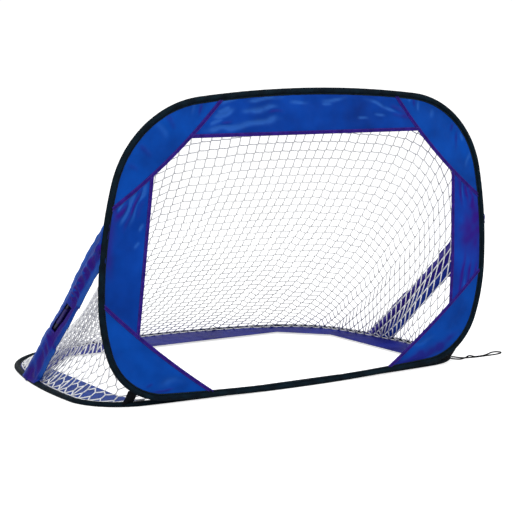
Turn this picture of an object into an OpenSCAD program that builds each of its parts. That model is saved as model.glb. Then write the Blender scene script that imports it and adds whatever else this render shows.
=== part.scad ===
// Folding pop-up goal: a mouth hoop hinged to a ground hoop along the goal line,
// cloth borders, one piece of netting and two sleeved sectional struts.
// Millimetres. X is to the right, Y towards the back of the net, Z up.
// The origin is on the ground at the middle of the ground hoop's front edge.

/* [Mouth hoop] */
// Width of the mouth hoop between rim centres
mouth_w = 1200; // [1120:5:1280]
// Height of the mouth hoop between rim centres
mouth_h = 780; // [740:5:840]
// Height at which the mouth hoop is widest
mouth_belly = 284; // [260:2:310]
// Bow radius of the bottom edge
sill_r = 6500; // [5000:100:8000]
// Radius of the two bottom corners
foot_corner_r = 177; // [160:1:195]
// Bow radius of the sides below the belly
foot_side_r = 488; // [440:2:560]
// Bow radius of the sides above the belly
head_side_r = 1134; // [1000:2:1300]
// Radius of the two top corners
head_corner_r = 272; // [250:1:290]
// Bow radius of the top edge
head_r = 3090; // [2600:10:3600]
// Forward lean of the mouth hoop in degrees
mouth_lean = 2.8; // [0:0.1:5]

/* [Ground hoop] */
// Width of the ground hoop between rim centres
base_w = 1204; // [1130:2:1280]
// Depth of the ground hoop between rim centres
base_d = 855; // [800:5:920]
// Distance behind the goal line at which the ground hoop is widest
base_belly = 257; // [235:1:285]
// Bow radius of the front edge
goal_line_r = 6600; // [5000:100:8000]
// Radius of the two front corners
front_corner_r = 154; // [140:1:170]
// Bow radius of the sides ahead of the belly
front_side_r = 1980; // [1700:10:2300]
// Bow radius of the sides behind the belly
rear_side_r = 1405; // [1250:5:1600]
// Radius of the two rear corners
rear_corner_r = 267; // [245:1:285]
// Bow radius of the rear edge
rear_r = 1106; // [1000:2:1250]

/* [Rim] */
// Outside diameter of the cloth binding round each hoop
rim_d = 14; // [11:0.5:18]
// Diameter of the spring rod inside each hoop
rod_d = 5; // [4:0.5:6]
// Clearance round the rod inside its binding
rod_clear = 0.2; // [0.1:0.05:0.4]
// Depth of the flat on which the ground hoop rests
rest_flat = 0.5; // [0.3:0.1:1]
// Length of the crimped ferrule that closes each rod
crimp_len = 60; // [40:2:90]
// Wall of the crimped ferrule
crimp_wall = 1.4; // [1:0.1:1.8]

/* [Cloth borders] */
// Thickness of the doubled border cloth
cloth_t = 1.6; // [1.2:0.1:2.4]
// Depth of the top border below the hoop's centreline
head_band_w = 113; // [80:1:150]
// Side border width at sill height
side_band_low_w = 90; // [70:1:120]
// Side border width at head height
side_band_high_w = 160; // [130:1:185]
// Reach of a top corner panel along the top
head_gusset_w = 362; // [320:2:400]
// Reach of a top corner panel down the side
head_gusset_h = 316; // [290:2:350]
// Reach of a bottom corner panel along the sill
foot_gusset_w = 326; // [290:2:360]
// Reach of a bottom corner panel up the side
foot_gusset_h = 266; // [240:2:290]
// Width of the ground hoop's side borders
base_side_band_w = 121; // [95:1:140]
// Width of the ground hoop's rear border
base_rear_band_w = 165; // [130:1:185]
// Reach of a rear corner panel along the back
rear_gusset_w = 368; // [330:2:400]
// Reach of a rear corner panel along the side
rear_gusset_d = 438; // [400:2:470]
// Width of the binding tape on the cloth's free edges
tape_w = 10; // [8:0.5:14]
// Thickness of the binding tape on each face
tape_t = 1; // [0.6:0.1:1.4]

/* [Struts] */
// Height of the strut's upper pivot along the mouth hoop
strut_top_h = 400; // [370:5:430]
// Distance of the strut's foot behind the goal line
strut_foot_y = 450; // [420:5:480]
// Outside diameter of the hollow pole
pole_d = 9.5; // [8.5:0.5:10]
// Bore of the hollow pole
pole_bore = 4.8; // [4.4:0.2:5.6]
// Length of the ferrule that joins the two pole sections
joint_len = 70; // [50:2:90]
// Wall of the joining ferrule
joint_wall = 1.4; // [1:0.1:1.8]
// Radius of the rounded tip at each end of the strut
tip_r = 8; // [7.5:0.1:8.4]
// Length of the tip's collar over the pole
tip_len = 24; // [18:1:30]
// Flat width of the strut's cloth sleeve
sleeve_w = 78; // [60:1:90]
// Thickness of the sleeve over the pole
sleeve_t = 20; // [19.6:0.1:24]
// Wall of the sleeve cloth
sleeve_wall = 1.5; // [1:0.1:1.6]
// Length of the access window at the middle of the sleeve
window_len = 104; // [80:2:130]
// Width of the access window
window_w = 26; // [18:1:34]
// Diameter of the elastic shock cord in the poles
shock_d = 3.4; // [3:0.1:4]

/* [Netting] */
// Meshes along the netting, counted along the hoops
net_cols = 24; // [16:2:24]
// Meshes down the netting, from mouth hoop to ground hoop
net_rows = 12; // [8:1:12]
// Thickness of the netting
net_t = 2.4; // [1.6:0.2:3]
// Share of each mesh taken by its strands
net_strand = 0.1; // [0.06:0.02:0.3]
// How far the netting hangs towards the goal line, as a share
net_sag = 0.33; // [0.1:0.01:0.45]
// How far the netting draws in at the sides, as a share
net_waist = 0.18; // [0.05:0.01:0.28]
// Distance of the netting's sewn edge inside the rim centre
net_inset = 15; // [13:0.5:18]

/* [Tabs and loop] */
// Distance from the middle of the goal line to a joining tab
tab_x = 508; // [495:1:520]
// Width of a joining tab
tab_w = 24; // [16:1:30]
// Thickness of a joining tab
tab_t = 1.6; // [1.2:0.1:2.4]
// Length of the piping sewn between the two hoops
piping_len = 240; // [160:10:280]
// Diameter of the elastic carrying loop
loop_d = 4; // [3:0.5:5]

/* [Hidden] */

seat = 0.3;                             // clearance between pieces that move or touch
rim_r = rim_d / 2;
rod_r = rod_d / 2;
bore_r = rod_r + rod_clear;
crimp_r = rod_r + rod_clear / 2 + crimp_wall;
far = 4000;                             // longer than anything that it cuts
key_len = 4;                            // length of the bond between two arcs of a hoop
key_wall = 0.8;                         // depth of that bond below the surface

base_z = rim_r - rest_flat;             // height of the ground hoop's rim centre
base_top = base_z + rim_r;
front_y = -(rim_d + seat);              // the mouth hoop stands ahead of the ground hoop
front_z = rim_r + seat;
hinge_y = front_y / 2 + 1;
hinge_z = base_top + 5 * seat;
piping_bow = sill_r - sqrt(pow(sill_r, 2) - pow(piping_len / 2, 2));
piping_r = min(norm([hinge_y, hinge_z - base_z]),
    norm([hinge_y - front_y, hinge_z - front_z - piping_bow])) - rim_r - seat;

// ---- hoops as chains of tangent arcs ----
// An arc is [centre, radius, first angle, last angle].

// Centre of the corner arc that is tangent inside the end arc and the side arc.
function corner_centre(half, belly, end_r, corner_r, side_r) =
    let(c1 = [0, end_r], c3 = [half - side_r, belly],
        d1 = end_r - corner_r, d3 = side_r - corner_r,
        gap = norm(c3 - c1), e = (c3 - c1) / gap,
        a = (d1 * d1 - d3 * d3 + gap * gap) / (2 * gap),
        h = sqrt(max(0, d1 * d1 - a * a)),
        p = c1 + a * e, n = [e.y, -e.x], ca = p + h * n, cb = p - h * n)
    ca.x - ca.y > cb.x - cb.y ? ca : cb;

// Right-hand quarter from the middle of the bottom edge to the belly.
function quarter(half, belly, end_r, corner_r, side_r) =
    let(c1 = [0, end_r], c3 = [half - side_r, belly],
        c2 = corner_centre(half, belly, end_r, corner_r, side_r),
        t1 = atan2(c2.y - c1.y, c2.x - c1.x), t3 = atan2(c2.y - c3.y, c2.x - c3.x))
    [[c1, end_r, -90, t1], [c2, corner_r, t1, t3], [c3, side_r, t3, 0]];

function flip_arc(arc, height) =
    [[arc[0].x, height - arc[0].y], arc[1], -arc[3], -arc[2]];

// Right-hand half of a hoop, from the bottom edge's middle up to the top edge's middle.
function half_hoop(width, height, belly, low, high) =
    let(a = quarter(width / 2, belly, low[0], low[1], low[2]),
        b = quarter(width / 2, height - belly, high[0], high[1], high[2]))
    [a[0], a[1], a[2], flip_arc(b[2], height), flip_arc(b[1], height), flip_arc(b[0], height)];

MOUTH = half_hoop(mouth_w, mouth_h, mouth_belly,
    [sill_r, foot_corner_r, foot_side_r], [head_r, head_corner_r, head_side_r]);
GROUND = half_hoop(base_w, base_d, base_belly,
    [goal_line_r, front_corner_r, front_side_r], [rear_r, rear_corner_r, rear_side_r]);

function on_arc(arc, angle, inset = 0) =
    arc[0] + (arc[1] - inset) * [cos(angle), sin(angle)];
function arc_len(arc) = arc[1] * (arc[3] - arc[2]) * PI / 180;
function chain_len(chain, i = 0) = i < len(chain) ? arc_len(chain[i]) + chain_len(chain, i + 1) : 0;

// Point, inset and measured along the chain, at a distance from its start.
function on_chain(chain, dist, inset = 0, i = 0) =
    dist <= arc_len(chain[i]) || i == len(chain) - 1
    ? on_arc(chain[i], chain[i][2] + dist / chain[i][1] * 180 / PI, inset)
    : on_chain(chain, dist - arc_len(chain[i]), inset, i + 1);

// Half width of a hoop at a height that lies on its upper side arc.
function half_width_at(chain, height) =
    chain[3][0].x + sqrt(pow(chain[3][1], 2) - pow(height - chain[3][0].y, 2));

// Distance of the lower edge from the width axis at a given x, on the corner arc.
function corner_height_at(chain, x) =
    chain[1][0].y - sqrt(pow(chain[1][1], 2) - pow(x - chain[1][0].x, 2));

function arc_steps(arc) = max(4, ceil((arc[3] - arc[2]) / 7.5), ceil(arc_len(arc) / 120));
function half_outline(chain, inset) = [for (arc = chain)
    let(n = arc_steps(arc)) for (i = [0:n - 1])
        on_arc(arc, arc[2] + (arc[3] - arc[2]) * i / n, inset)];
function outline(chain, inset) =
    let(right = half_outline(chain, inset), n = len(right))
    concat(right, [on_arc(chain[5], 90, inset)],
        [for (i = [n - 1:-1:1]) [-right[i].x, right[i].y]]);

function round_steps(r) = ceil(7.2 * sqrt(r));

// The whole hoop, counter-clockwise, starting with the stretch that holds the rod's crimp.
function mirror_arc(arc) = [[-arc[0].x, arc[0].y], arc[1], 180 - arc[3], 180 - arc[2]];
function whole_hoop(chain) =
    let(low = chain[0], high = chain[5], a = (crimp_len / 2 + 1) / high[1] * 180 / PI)
    concat([[high[0], high[1], 90 - a, 90 + a], [high[0], high[1], 90 + a, 180 - high[2]]],
        [for (i = [4:-1:1]) mirror_arc(chain[i])],
        [[low[0], low[1], -180 - low[3], low[3]]],
        [for (i = [1:4]) chain[i]],
        [[high[0], high[1], high[2], 90 - a]]);

// Sweeps a section along an arc, a hair short of both its ends.
hair = 0.02;
module arc_sweep(arc) {
    short = hair / arc[1] * 180 / PI;
    translate(arc[0]) rotate([0, 0, arc[2] + short])
        rotate_extrude(angle = arc[3] - arc[2] - 2 * short, $fn = round_steps(arc[1]))
            translate([arc[1], 0]) children();
}

// Child 0 is the section, child 1 the section at the rod's crimp, and child 2 the key
// that bonds one arc to the next inside their walls.
module hoop_sweep(chain) {
    arcs = whole_hoop(chain);
    for (i = [0:len(arcs) - 1]) {
        arc_sweep(arcs[i]) children(i == 0 ? 1 : 0);
        translate(on_arc(arcs[i], arcs[i][2])) rotate([90, 0, arcs[i][2]])
            linear_extrude(key_len, center = true) children(2);
    }
}

module ring(outer, inner) difference() {
    circle(r = outer, $fn = 32);
    circle(r = inner, $fn = 24);
}

// ---- the mouth hoop's own plane ----
module on_mouth() translate([0, front_y, front_z]) rotate([mouth_lean + 90, 0, 0]) children();
// Place of a point of that plane, a distance behind it.
function mouth_point(p, back) =
    [p.x, front_y - p.y * sin(mouth_lean) + back * cos(mouth_lean),
     front_z + p.y * cos(mouth_lean) + back * sin(mouth_lean)];

// ---- cloth borders ----
cloth_inset = rim_r + seat;
fold_t = cloth_t + 2 * tape_t;
function line_dir(l) = (l[1] - l[0]) / norm(l[1] - l[0]);
function line_at_y(l, y) = l[0] + line_dir(l) * (y - l[0].y) / line_dir(l).y;
function meet(l, m) =
    let(d = line_dir(l), e = line_dir(m), w = m[0] - l[0])
    l[0] + d * (w.x * e.y - w.y * e.x) / (d.x * e.y - d.y * e.x);

head_line = [[mouth_w / 2, mouth_h - head_gusset_h], [mouth_w / 2 - head_gusset_w, mouth_h]];
foot_line = [[mouth_w / 2 - foot_gusset_w, 0], [mouth_w / 2, foot_gusset_h]];
side_line = [[mouth_w / 2 - side_band_low_w, 0], [mouth_w / 2 - side_band_high_w, mouth_h]];
top_line = [[mouth_w / 2, mouth_h - head_band_w], [-mouth_w / 2, mouth_h - head_band_w]];
rear_line = [[base_w / 2, base_d - rear_gusset_d], [base_w / 2 - rear_gusset_w, base_d]];

// Everything to the right of a line, less a margin.
module right_of(l, margin = 0) {
    d = line_dir(l);
    n = [d.y, -d.x];
    a = l[0] + n * margin;
    polygon([a - d * far, a + n * far, a + d * far]);
}
module left_of(l, margin = 0) right_of([l[1], l[0]], margin);
module mouth_inside() polygon(outline(MOUTH, cloth_inset));
module ground_inside() polygon(outline(GROUND, cloth_inset));

module mouth_cloth() on_mouth() linear_extrude(cloth_t, center = true) children();
module ground_cloth() translate([0, 0, base_z]) linear_extrude(cloth_t, center = true) children();

// Corner panel beyond a line; its edge reaches into the tape's fold.
module head_corner() color("royalblue") mouth_cloth() intersection() {
    mouth_inside();
    right_of(head_line, -tape_w / 2 + tape_t + seat);
}
module foot_corner() color("royalblue") mouth_cloth() intersection() {
    mouth_inside();
    right_of(foot_line, -tape_w / 2 + tape_t + seat);
}
module side_band() color("mediumblue") mouth_cloth() intersection() {
    mouth_inside();
    right_of([side_line[0], side_line[1]], tape_t + seat);
    left_of(head_line, tape_w / 2 + seat);
    left_of(foot_line, tape_w / 2 + seat);
}
module front_top_band() color("mediumblue") mouth_cloth() intersection() {
    mouth_inside();
    right_of(top_line, tape_t + seat);
    left_of(head_line, tape_w / 2 + seat);
    mirror([1, 0, 0]) left_of(head_line, tape_w / 2 + seat);
}

// Tape folded over a cloth edge: a U section, open to the right of the line.
module folded_tape(start, end, open_w) {
    run = end - start;
    translate(start) rotate([0, 0, atan2(run.y, run.x)]) rotate([90, 0, 90])
        linear_extrude(norm(run)) difference() {
            translate([-open_w, -fold_t / 2]) square([tape_w, fold_t]);
            translate([-far, -cloth_t / 2 - seat / 3])
                square([far + tape_w - open_w - tape_t, cloth_t + 2 * seat / 3]);
        }
}

// Distance along a line, from its first point, at which a point of the inner outline lies.
function rim_hits(l, pts, side) = [for (i = [0:len(pts) - 1])
    let(a = pts[i], b = pts[(i + 1) % len(pts)], d = line_dir(l), n = [d.y, -d.x],
        u = (a - l[0]) * n + side, v = (b - l[0]) * n + side)
    if (u * v < 0) (a - l[0]) * d + (b - a) * d * u / (u - v)];

// A gusset's tape runs from rim to rim, cut back so that both its edges clear the rim.
module gusset_tape(l) {
    pts = outline(MOUTH, cloth_inset);
    ends = [for (side = [-tape_w / 2, tape_w / 2]) rim_hits(l, pts, side)];
    first = max([for (e = ends) min(e)]);
    last = min([for (e = ends) max(e)]);
    color("midnightblue") on_mouth()
        folded_tape(l[0] + line_dir(l) * first, l[0] + line_dir(l) * last, tape_w / 2);
}

// Straight tape on a border's free edge, between two gusset tapes.
module edge_tape(l, from_line, to_line) {
    d = line_dir(l);
    inner = tape_w - tape_t;
    n = [d.y, -d.x];
    clear = tape_w / 2 + seat;
    near = [for (off = [-tape_t, inner]) (meet([l[0] + n * off, l[1] + n * off], from_line) - l[0]) * d
        + clear / abs(d * [line_dir(from_line).y, -line_dir(from_line).x])];
    away = [for (off = [-tape_t, inner]) (meet([l[0] + n * off, l[1] + n * off], to_line) - l[0]) * d
        - clear / abs(d * [line_dir(to_line).y, -line_dir(to_line).x])];
    color("midnightblue") on_mouth()
        folded_tape(l[0] + d * max(near), l[0] + d * min(away), inner);
}
function mirrored(l) = [[-l[0].x, l[0].y], [-l[1].x, l[1].y]];

// ---- struts ----
strut_foot_x = half_width_at(GROUND, strut_foot_y);
strut_top_x = half_width_at(MOUTH, strut_top_h);
pocket_wall = 1.7;
pivot_rise = rim_r + pocket_wall + seat + tip_r;
pocket_rise = pivot_rise - tip_r + 0.5;     // low enough for the tip's collar to pass over
strut_foot = [strut_foot_x, strut_foot_y, base_z + pivot_rise];
strut_top = mouth_point([strut_top_x, strut_top_h], pivot_rise);
strut_vec = strut_top - strut_foot;
strut_len = norm(strut_vec);
joint_r = pole_d / 2 + 0.1 + joint_wall;
collar_r = tip_r - 1;
pole_start = tip_r - 2;
sleeve_arc_r = (pow(sleeve_w / 2, 2) + pow(sleeve_t / 2, 2)) / sleeve_t;

// Local Z runs up the strut, local Y points outwards.
module on_strut() translate(strut_foot)
    rotate([0, acos(strut_vec.z / strut_len), atan2(strut_vec.y, strut_vec.x)]) children();

module tube(r, bore, from, to) translate([0, 0, from]) difference() {
    cylinder(r = r, h = to - from, $fn = 32);
    translate([0, 0, -1]) cylinder(r = bore, h = to - from + 2, $fn = 24);
}
module lower_pole() color("dimgray") on_strut()
    tube(pole_d / 2, pole_bore / 2, pole_start + seat, strut_len / 2 - seat);
module upper_pole() color("dimgray") on_strut()
    tube(pole_d / 2, pole_bore / 2, strut_len / 2 + seat, strut_len - pole_start - seat);
module pole_ferrule() color("silver") on_strut()
    tube(joint_r, pole_d / 2 + 0.1, strut_len / 2 - joint_len / 2, strut_len / 2 + joint_len / 2);
module tip() difference() {
    union() {
        sphere(r = tip_r, $fn = 48);
        cylinder(r = collar_r, h = tip_len, $fn = 32);
    }
    translate([0, 0, pole_start]) cylinder(r = pole_d / 2 + 0.1, h = tip_len, $fn = 32);
}
module foot_tip() color("black") on_strut() tip();
module top_tip() color("black") on_strut() translate([0, 0, strut_len]) mirror([0, 0, 1]) tip();
module shock_cord() color("white") on_strut() {
    knot_r = pole_bore / 2 - 0.1;
    start = pole_start + seat + knot_r;
    translate([0, 0, start]) cylinder(r = shock_d / 2, h = strut_len - 2 * start, $fn = 20);
    for (z = [start, strut_len - start]) translate([0, 0, z]) sphere(r = knot_r, $fn = 24);
}

// Pointed oval: two arcs of one radius.
module lens(r, half_gap) intersection() {
    translate([0, -half_gap]) circle(r = r, $fn = 160);
    translate([0, half_gap]) circle(r = r, $fn = 160);
}
module sleeve_tube(from, to) on_strut() translate([0, 0, from]) difference() {
    linear_extrude(to - from) difference() {
        lens(sleeve_arc_r, sleeve_arc_r - sleeve_t / 2);
        lens(sleeve_arc_r - sleeve_wall, sleeve_arc_r - sleeve_t / 2);
    }
    translate([0, sleeve_t / 2, strut_len / 2 - from]) rotate([90, 0, 0])
        linear_extrude(sleeve_t, center = true) square([window_w, window_len], center = true);
}
module lower_sleeve() color("blue") difference() {
    sleeve_tube(-sleeve_w, strut_len / 2 - seat);
    translate([-far / 2, -far / 2, -far]) cube([far, far, far + base_z + pocket_rise + seat]);
}
module upper_sleeve() color("blue") difference() {
    sleeve_tube(strut_len / 2 + seat, strut_len + sleeve_w);
    on_mouth() translate([-far / 2, -far / 2, -pocket_rise - seat]) cube(far);
}

// Dish that seats a strut's tip and saddles the rim. The axis points away from the rim.
module dish(rise) difference() {
    cylinder(r = tip_r + 3, h = pocket_rise, $fn = 40);
    translate([0, 0, rise]) sphere(r = tip_r + seat, $fn = 48);
}
module foot_pocket() color("navy") difference() {
    translate([strut_foot.x, strut_foot.y, base_z]) dish(pivot_rise);
    translate([0, 0, base_z]) arc_sweep(GROUND[3]) circle(r = rim_r, $fn = 32);
    translate([strut_foot.x - far / 2, strut_foot.y, 0]) rotate([90, 0, 0])
        linear_extrude(far, center = true) square([far / 2, base_z + cloth_t]);
    translate([strut_foot.x, strut_foot.y - far / 2, 0]) cube([far / 2, far, base_z + cloth_t]);
}
module top_pocket() color("navy") on_mouth() difference() {
    translate([strut_top_x, strut_top_h, 0]) mirror([0, 0, 1]) dish(pivot_rise);
    arc_sweep(MOUTH[3]) circle(r = rim_r, $fn = 32);
    translate([strut_top_x - far / 2, strut_top_h - far / 2, -cloth_t]) cube([far, far, far]);
}

// ---- netting ----
// Where the netting starts, along each half hoop, from the middle of the lower edge.
mouth_start = arc_len(MOUTH[0]) + arc_len(MOUTH[1]) / 2;
ground_start = arc_len(GROUND[0]) + arc_len(GROUND[1]) / 2;
function sewn(chain, start, share) =
    let(p = on_chain(chain, chain_len(chain) - abs(share) * (chain_len(chain) - start), net_inset))
    [sign(share) * p.x, p.y];
function net_edge(share) =
    mouth_point(sewn(MOUTH, mouth_start, share), cloth_t / 2 + seat + net_t / 2 + tape_t);
function net_foot(share) =
    let(p = sewn(GROUND, ground_start, share)) [p.x, p.y, base_z + cloth_t / 2 + seat + net_t / 2];
// The surface: share -1 to 1 from left to right, drop 0 at the mouth to 1 on the ground.
function net_mid(share, drop) =
    let(a = net_edge(share), b = net_foot(share), m = (a + b) / 2,
        c = [m.x * (1 - net_waist), m.y + (a.y - m.y) * net_sag, m.z + (b.z - m.z) * net_sag])
    a * pow(1 - drop, 2) + c * 2 * drop * (1 - drop) + b * pow(drop, 2);
function net_normal(share, drop) =
    let(e = 0.01, n = cross(
        net_mid(share + e, drop) - net_mid(share - e, drop),
        net_mid(share, min(1, drop + e)) - net_mid(share, max(0, drop - e))))
    n / norm(n);
function net_at(i, j, face) =
    let(share = -1 + 2 * i / net_cols, drop = j / net_rows)
    net_mid(share, drop) + net_normal(share, drop) * face * net_t / 2;

// Vertices: both faces of every crossing, then both faces of every mesh's four corners.
net_knots = [for (face = [-1, 1]) for (i = [0:net_cols]) for (j = [0:net_rows]) net_at(i, j, face)];
net_holes = [for (face = [-1, 1]) for (i = [0:net_cols - 1]) for (j = [0:net_rows - 1])
    for (k = [[0, 0], [1, 0], [1, 1], [0, 1]])
        let(low = net_strand / 2, high = 1 - net_strand / 2)
        net_at(i + (k.x == 0 ? low : high), j + (k.y == 0 ? low : high), face)];
function knot(i, j, face) = (face * (net_cols + 1) + i) * (net_rows + 1) + j;
function hole(i, j, k, face) =
    len(net_knots) + ((face * net_cols + i) * net_rows + j) * 4 + (k + 4) % 4;
function cell_ring(i, j, face) =
    [knot(i, j, face), knot(i + 1, j, face), knot(i + 1, j + 1, face), knot(i, j + 1, face)];
function quad(a, b, c, d) = [[a, b, c], [a, c, d]];
net_faces = [for (i = [0:net_cols - 1]) for (j = [0:net_rows - 1]) for (k = [0:3])
    let(a = cell_ring(i, j, 0), b = cell_ring(i, j, 1), n = (k + 1) % 4)
    each concat(
        quad(a[k], a[n], hole(i, j, n, 0), hole(i, j, k, 0)),
        quad(b[n], b[k], hole(i, j, k, 1), hole(i, j, n, 1)),
        quad(hole(i, j, k, 0), hole(i, j, n, 0), hole(i, j, n, 1), hole(i, j, k, 1)))];
net_sides = [for (i = [0:net_cols - 1]) for (j = [0, net_rows])
    let(p = j == 0 ? i : i + 1, q = j == 0 ? i + 1 : i)
    each quad(knot(q, j, 0), knot(p, j, 0), knot(p, j, 1), knot(q, j, 1))];
net_ends = [for (j = [0:net_rows - 1]) for (i = [0, net_cols])
    let(p = i == 0 ? j + 1 : j, q = i == 0 ? j : j + 1)
    each quad(knot(i, q, 0), knot(i, p, 0), knot(i, p, 1), knot(i, q, 1))];
module goal_net() color("whitesmoke")
    polyhedron(concat(net_knots, net_holes), concat(net_ends, net_sides, net_faces));

// ---- joints between the hoops ----
module hinge_piping() color("black") translate([0, hinge_y, hinge_z]) rotate([0, 90, 0])
    cylinder(r = piping_r, h = piping_len, center = true, $fn = 32);

// A strap from the ground rim to the mouth rim, at one front corner.
module joining_tab() {
    low = [tab_x, corner_height_at(GROUND, tab_x), base_z];
    high = mouth_point([tab_x, corner_height_at(MOUTH, tab_x)], 0);
    run = high - low;
    color("black") difference() {
        translate(low) rotate([atan2(-run.y, run.z), 0, 0])
            translate([-tab_w / 2, -tab_t / 2, 0]) cube([tab_w, tab_t, norm([run.y, run.z])]);
        translate([0, 0, base_z]) arc_sweep(GROUND[1]) circle(r = rim_r + seat, $fn = 32);
        on_mouth() arc_sweep(MOUTH[1]) circle(r = rim_r + seat, $fn = 32);
    }
}

// ---- carrying loop, an elastic cord that lies on the ground ----
LOOP = [[569.5, 65.8, 6.2], [577, 59.5, 5.2], [588, 52, 3.4], [604, 45, 2.3], [624, 39.5, 2.2],
    [646, 36.5, 2.2], [670, 36, 2.2], [695, 36, 2.2], [718, 37, 2.2], [738, 43, 2.2],
    [748, 54, 2.2], [742, 66, 2.2], [726, 67, 2.2], [706, 58, 2.2], [684, 47, 2.2],
    [662, 42, 2.2], [640, 42.5, 2.6], [619, 43.5, 7.1], [599, 37, 4.4], [578, 34, 3],
    [559.5, 39, 4.8], [551.7, 47.7, 6.2]];
LOOP_SIDES = 8;
LOOP_STEPS = 3;
function spline(p, i, t) =
    let(a = p[max(0, i - 1)], b = p[i], c = p[i + 1], d = p[min(len(p) - 1, i + 2)])
    (2 * b + (c - a) * t + (2 * a - 5 * b + 4 * c - d) * t * t
        + (3 * b - a - 3 * c + d) * t * t * t) / 2;
loop_line = concat([for (i = [0:len(LOOP) - 2]) for (k = [0:LOOP_STEPS - 1])
    spline(LOOP, i, k / LOOP_STEPS)], [LOOP[len(LOOP) - 1]]);
function loop_ring(i) =
    let(n = len(loop_line), d = loop_line[min(n - 1, i + 1)] - loop_line[max(0, i - 1)],
        side = cross(d, [0, 0, 1]) / norm(cross(d, [0, 0, 1])), up = cross(side, d) / norm(d))
    [for (k = [0:LOOP_SIDES - 1]) loop_line[i]
        + (side * cos(360 * k / LOOP_SIDES) + up * sin(360 * k / LOOP_SIDES)) * loop_d / 2];
module carrying_loop() {
    n = len(loop_line);
    m = LOOP_SIDES;
    color("black") polyhedron(
        [for (i = [0:n - 1]) each loop_ring(i)],
        concat([[for (k = [0:m - 1]) k]], [[for (k = [m - 1:-1:0]) (n - 1) * m + k]],
            [for (i = [0:n - 2]) for (k = [0:m - 1]) let(l = (k + 1) % m)
                each quad(i * m + k, (i + 1) * m + k, (i + 1) * m + l, i * m + l)]));
}

// ---- rims ----
module rim_section(bore) intersection() {
    ring(rim_r, bore);
    translate([-rim_r, -base_z]) square([rim_d, rim_d]);
}
module rim_key() ring(rim_r - key_wall, crimp_r + rod_clear + key_wall);
module base_rim_sleeve() color([0.05, 0.09, 0.1]) translate([0, 0, base_z])
    hoop_sweep(GROUND) {
        rim_section(bore_r);
        rim_section(crimp_r + rod_clear);
        rim_key();
    }
module front_rim_sleeve() color([0.05, 0.09, 0.1]) on_mouth() hoop_sweep(MOUTH) {
    ring(rim_r, bore_r);
    ring(rim_r, crimp_r + rod_clear);
    rim_key();
}
module spring_rod(chain) color("silver") hoop_sweep(chain) {
    circle(r = rod_r, $fn = 24);
    circle(r = rod_r, $fn = 24);
    circle(r = rod_r - key_wall, $fn = 24);
}
module rod_crimp(chain) color("gray") {
    half = crimp_len / chain[5][1] * 90 / PI;
    arc_sweep([chain[5][0], chain[5][1], 90 - half, 90 + half]) ring(crimp_r, rod_r + rod_clear / 2);
}
module base_spring_rod() translate([0, 0, base_z]) spring_rod(GROUND);
module front_spring_rod() on_mouth() spring_rod(MOUTH);
module base_rod_ferrule() translate([0, 0, base_z]) rod_crimp(GROUND);
module front_rod_ferrule() on_mouth() rod_crimp(MOUTH);

// ---- ground hoop cloth ----
module base_side_band() color("mediumblue") ground_cloth() intersection() {
    ground_inside();
    translate([base_w / 2 - base_side_band_w, -far / 2]) square([far, far]);
    left_of(rear_line, seat / 2);
}
module base_rear_band() color("mediumblue") ground_cloth() intersection() {
    ground_inside();
    translate([-far / 2, base_d - base_rear_band_w]) square([far, far]);
    left_of(rear_line, seat / 2);
    mirror([1, 0, 0]) left_of(rear_line, seat / 2);
}
module base_rear_corner() color("royalblue") ground_cloth() intersection() {
    ground_inside();
    right_of(rear_line, seat / 2);
}

module left() mirror([1, 0, 0]) children();

base_rim_sleeve();
base_spring_rod();
base_rod_ferrule();
left() base_side_band();  // base_left_band
base_side_band();  // base_right_band
base_rear_band();
left() base_rear_corner();  // base_rear_left_corner
base_rear_corner();  // base_rear_right_corner
left() foot_pocket();  // left_foot_pocket
foot_pocket();  // right_foot_pocket
hinge_piping();
left() joining_tab();  // left_joining_tab
joining_tab();  // right_joining_tab
carrying_loop();
goal_net();
front_rim_sleeve();
front_spring_rod();
front_rod_ferrule();
front_top_band();
left() side_band();  // front_left_band
side_band();  // front_right_band
left() head_corner();  // front_top_left_corner
head_corner();  // front_top_right_corner
left() foot_corner();  // front_bottom_left_corner
foot_corner();  // front_bottom_right_corner
left() gusset_tape(head_line);  // top_left_corner_tape
gusset_tape(head_line);  // top_right_corner_tape
left() gusset_tape(foot_line);  // bottom_left_corner_tape
gusset_tape(foot_line);  // bottom_right_corner_tape
edge_tape(top_line, head_line, mirrored(head_line));  // top_band_tape
left() edge_tape(side_line, foot_line, head_line);  // left_band_tape
edge_tape(side_line, foot_line, head_line);  // right_band_tape
left() top_pocket();  // left_top_pocket
top_pocket();  // right_top_pocket
left() lower_pole();  // left_lower_pole
left() pole_ferrule();  // left_pole_ferrule
left() foot_tip();  // left_foot_tip
left() lower_sleeve();  // left_lower_sleeve
lower_pole();  // right_lower_pole
pole_ferrule();  // right_pole_ferrule
foot_tip();  // right_foot_tip
lower_sleeve();  // right_lower_sleeve
left() upper_pole();  // left_upper_pole
left() top_tip();  // left_top_tip
left() shock_cord();  // left_shock_cord
left() upper_sleeve();  // left_upper_sleeve
upper_pole();  // right_upper_pole
top_tip();  // right_top_tip
shock_cord();  // right_shock_cord
upper_sleeve();  // right_upper_sleeve
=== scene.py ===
"""Looks of the folding pop-up goal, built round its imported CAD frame.

Metres. X is to the right, Y towards the back of the net, Z up. The goal line lies along X.
A place on a hoop is a signed distance from the middle of its lower or front edge, positive to the right.
"""

import math

import bmesh
import bpy
import numpy as np
from mathutils import Matrix, Vector


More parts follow.
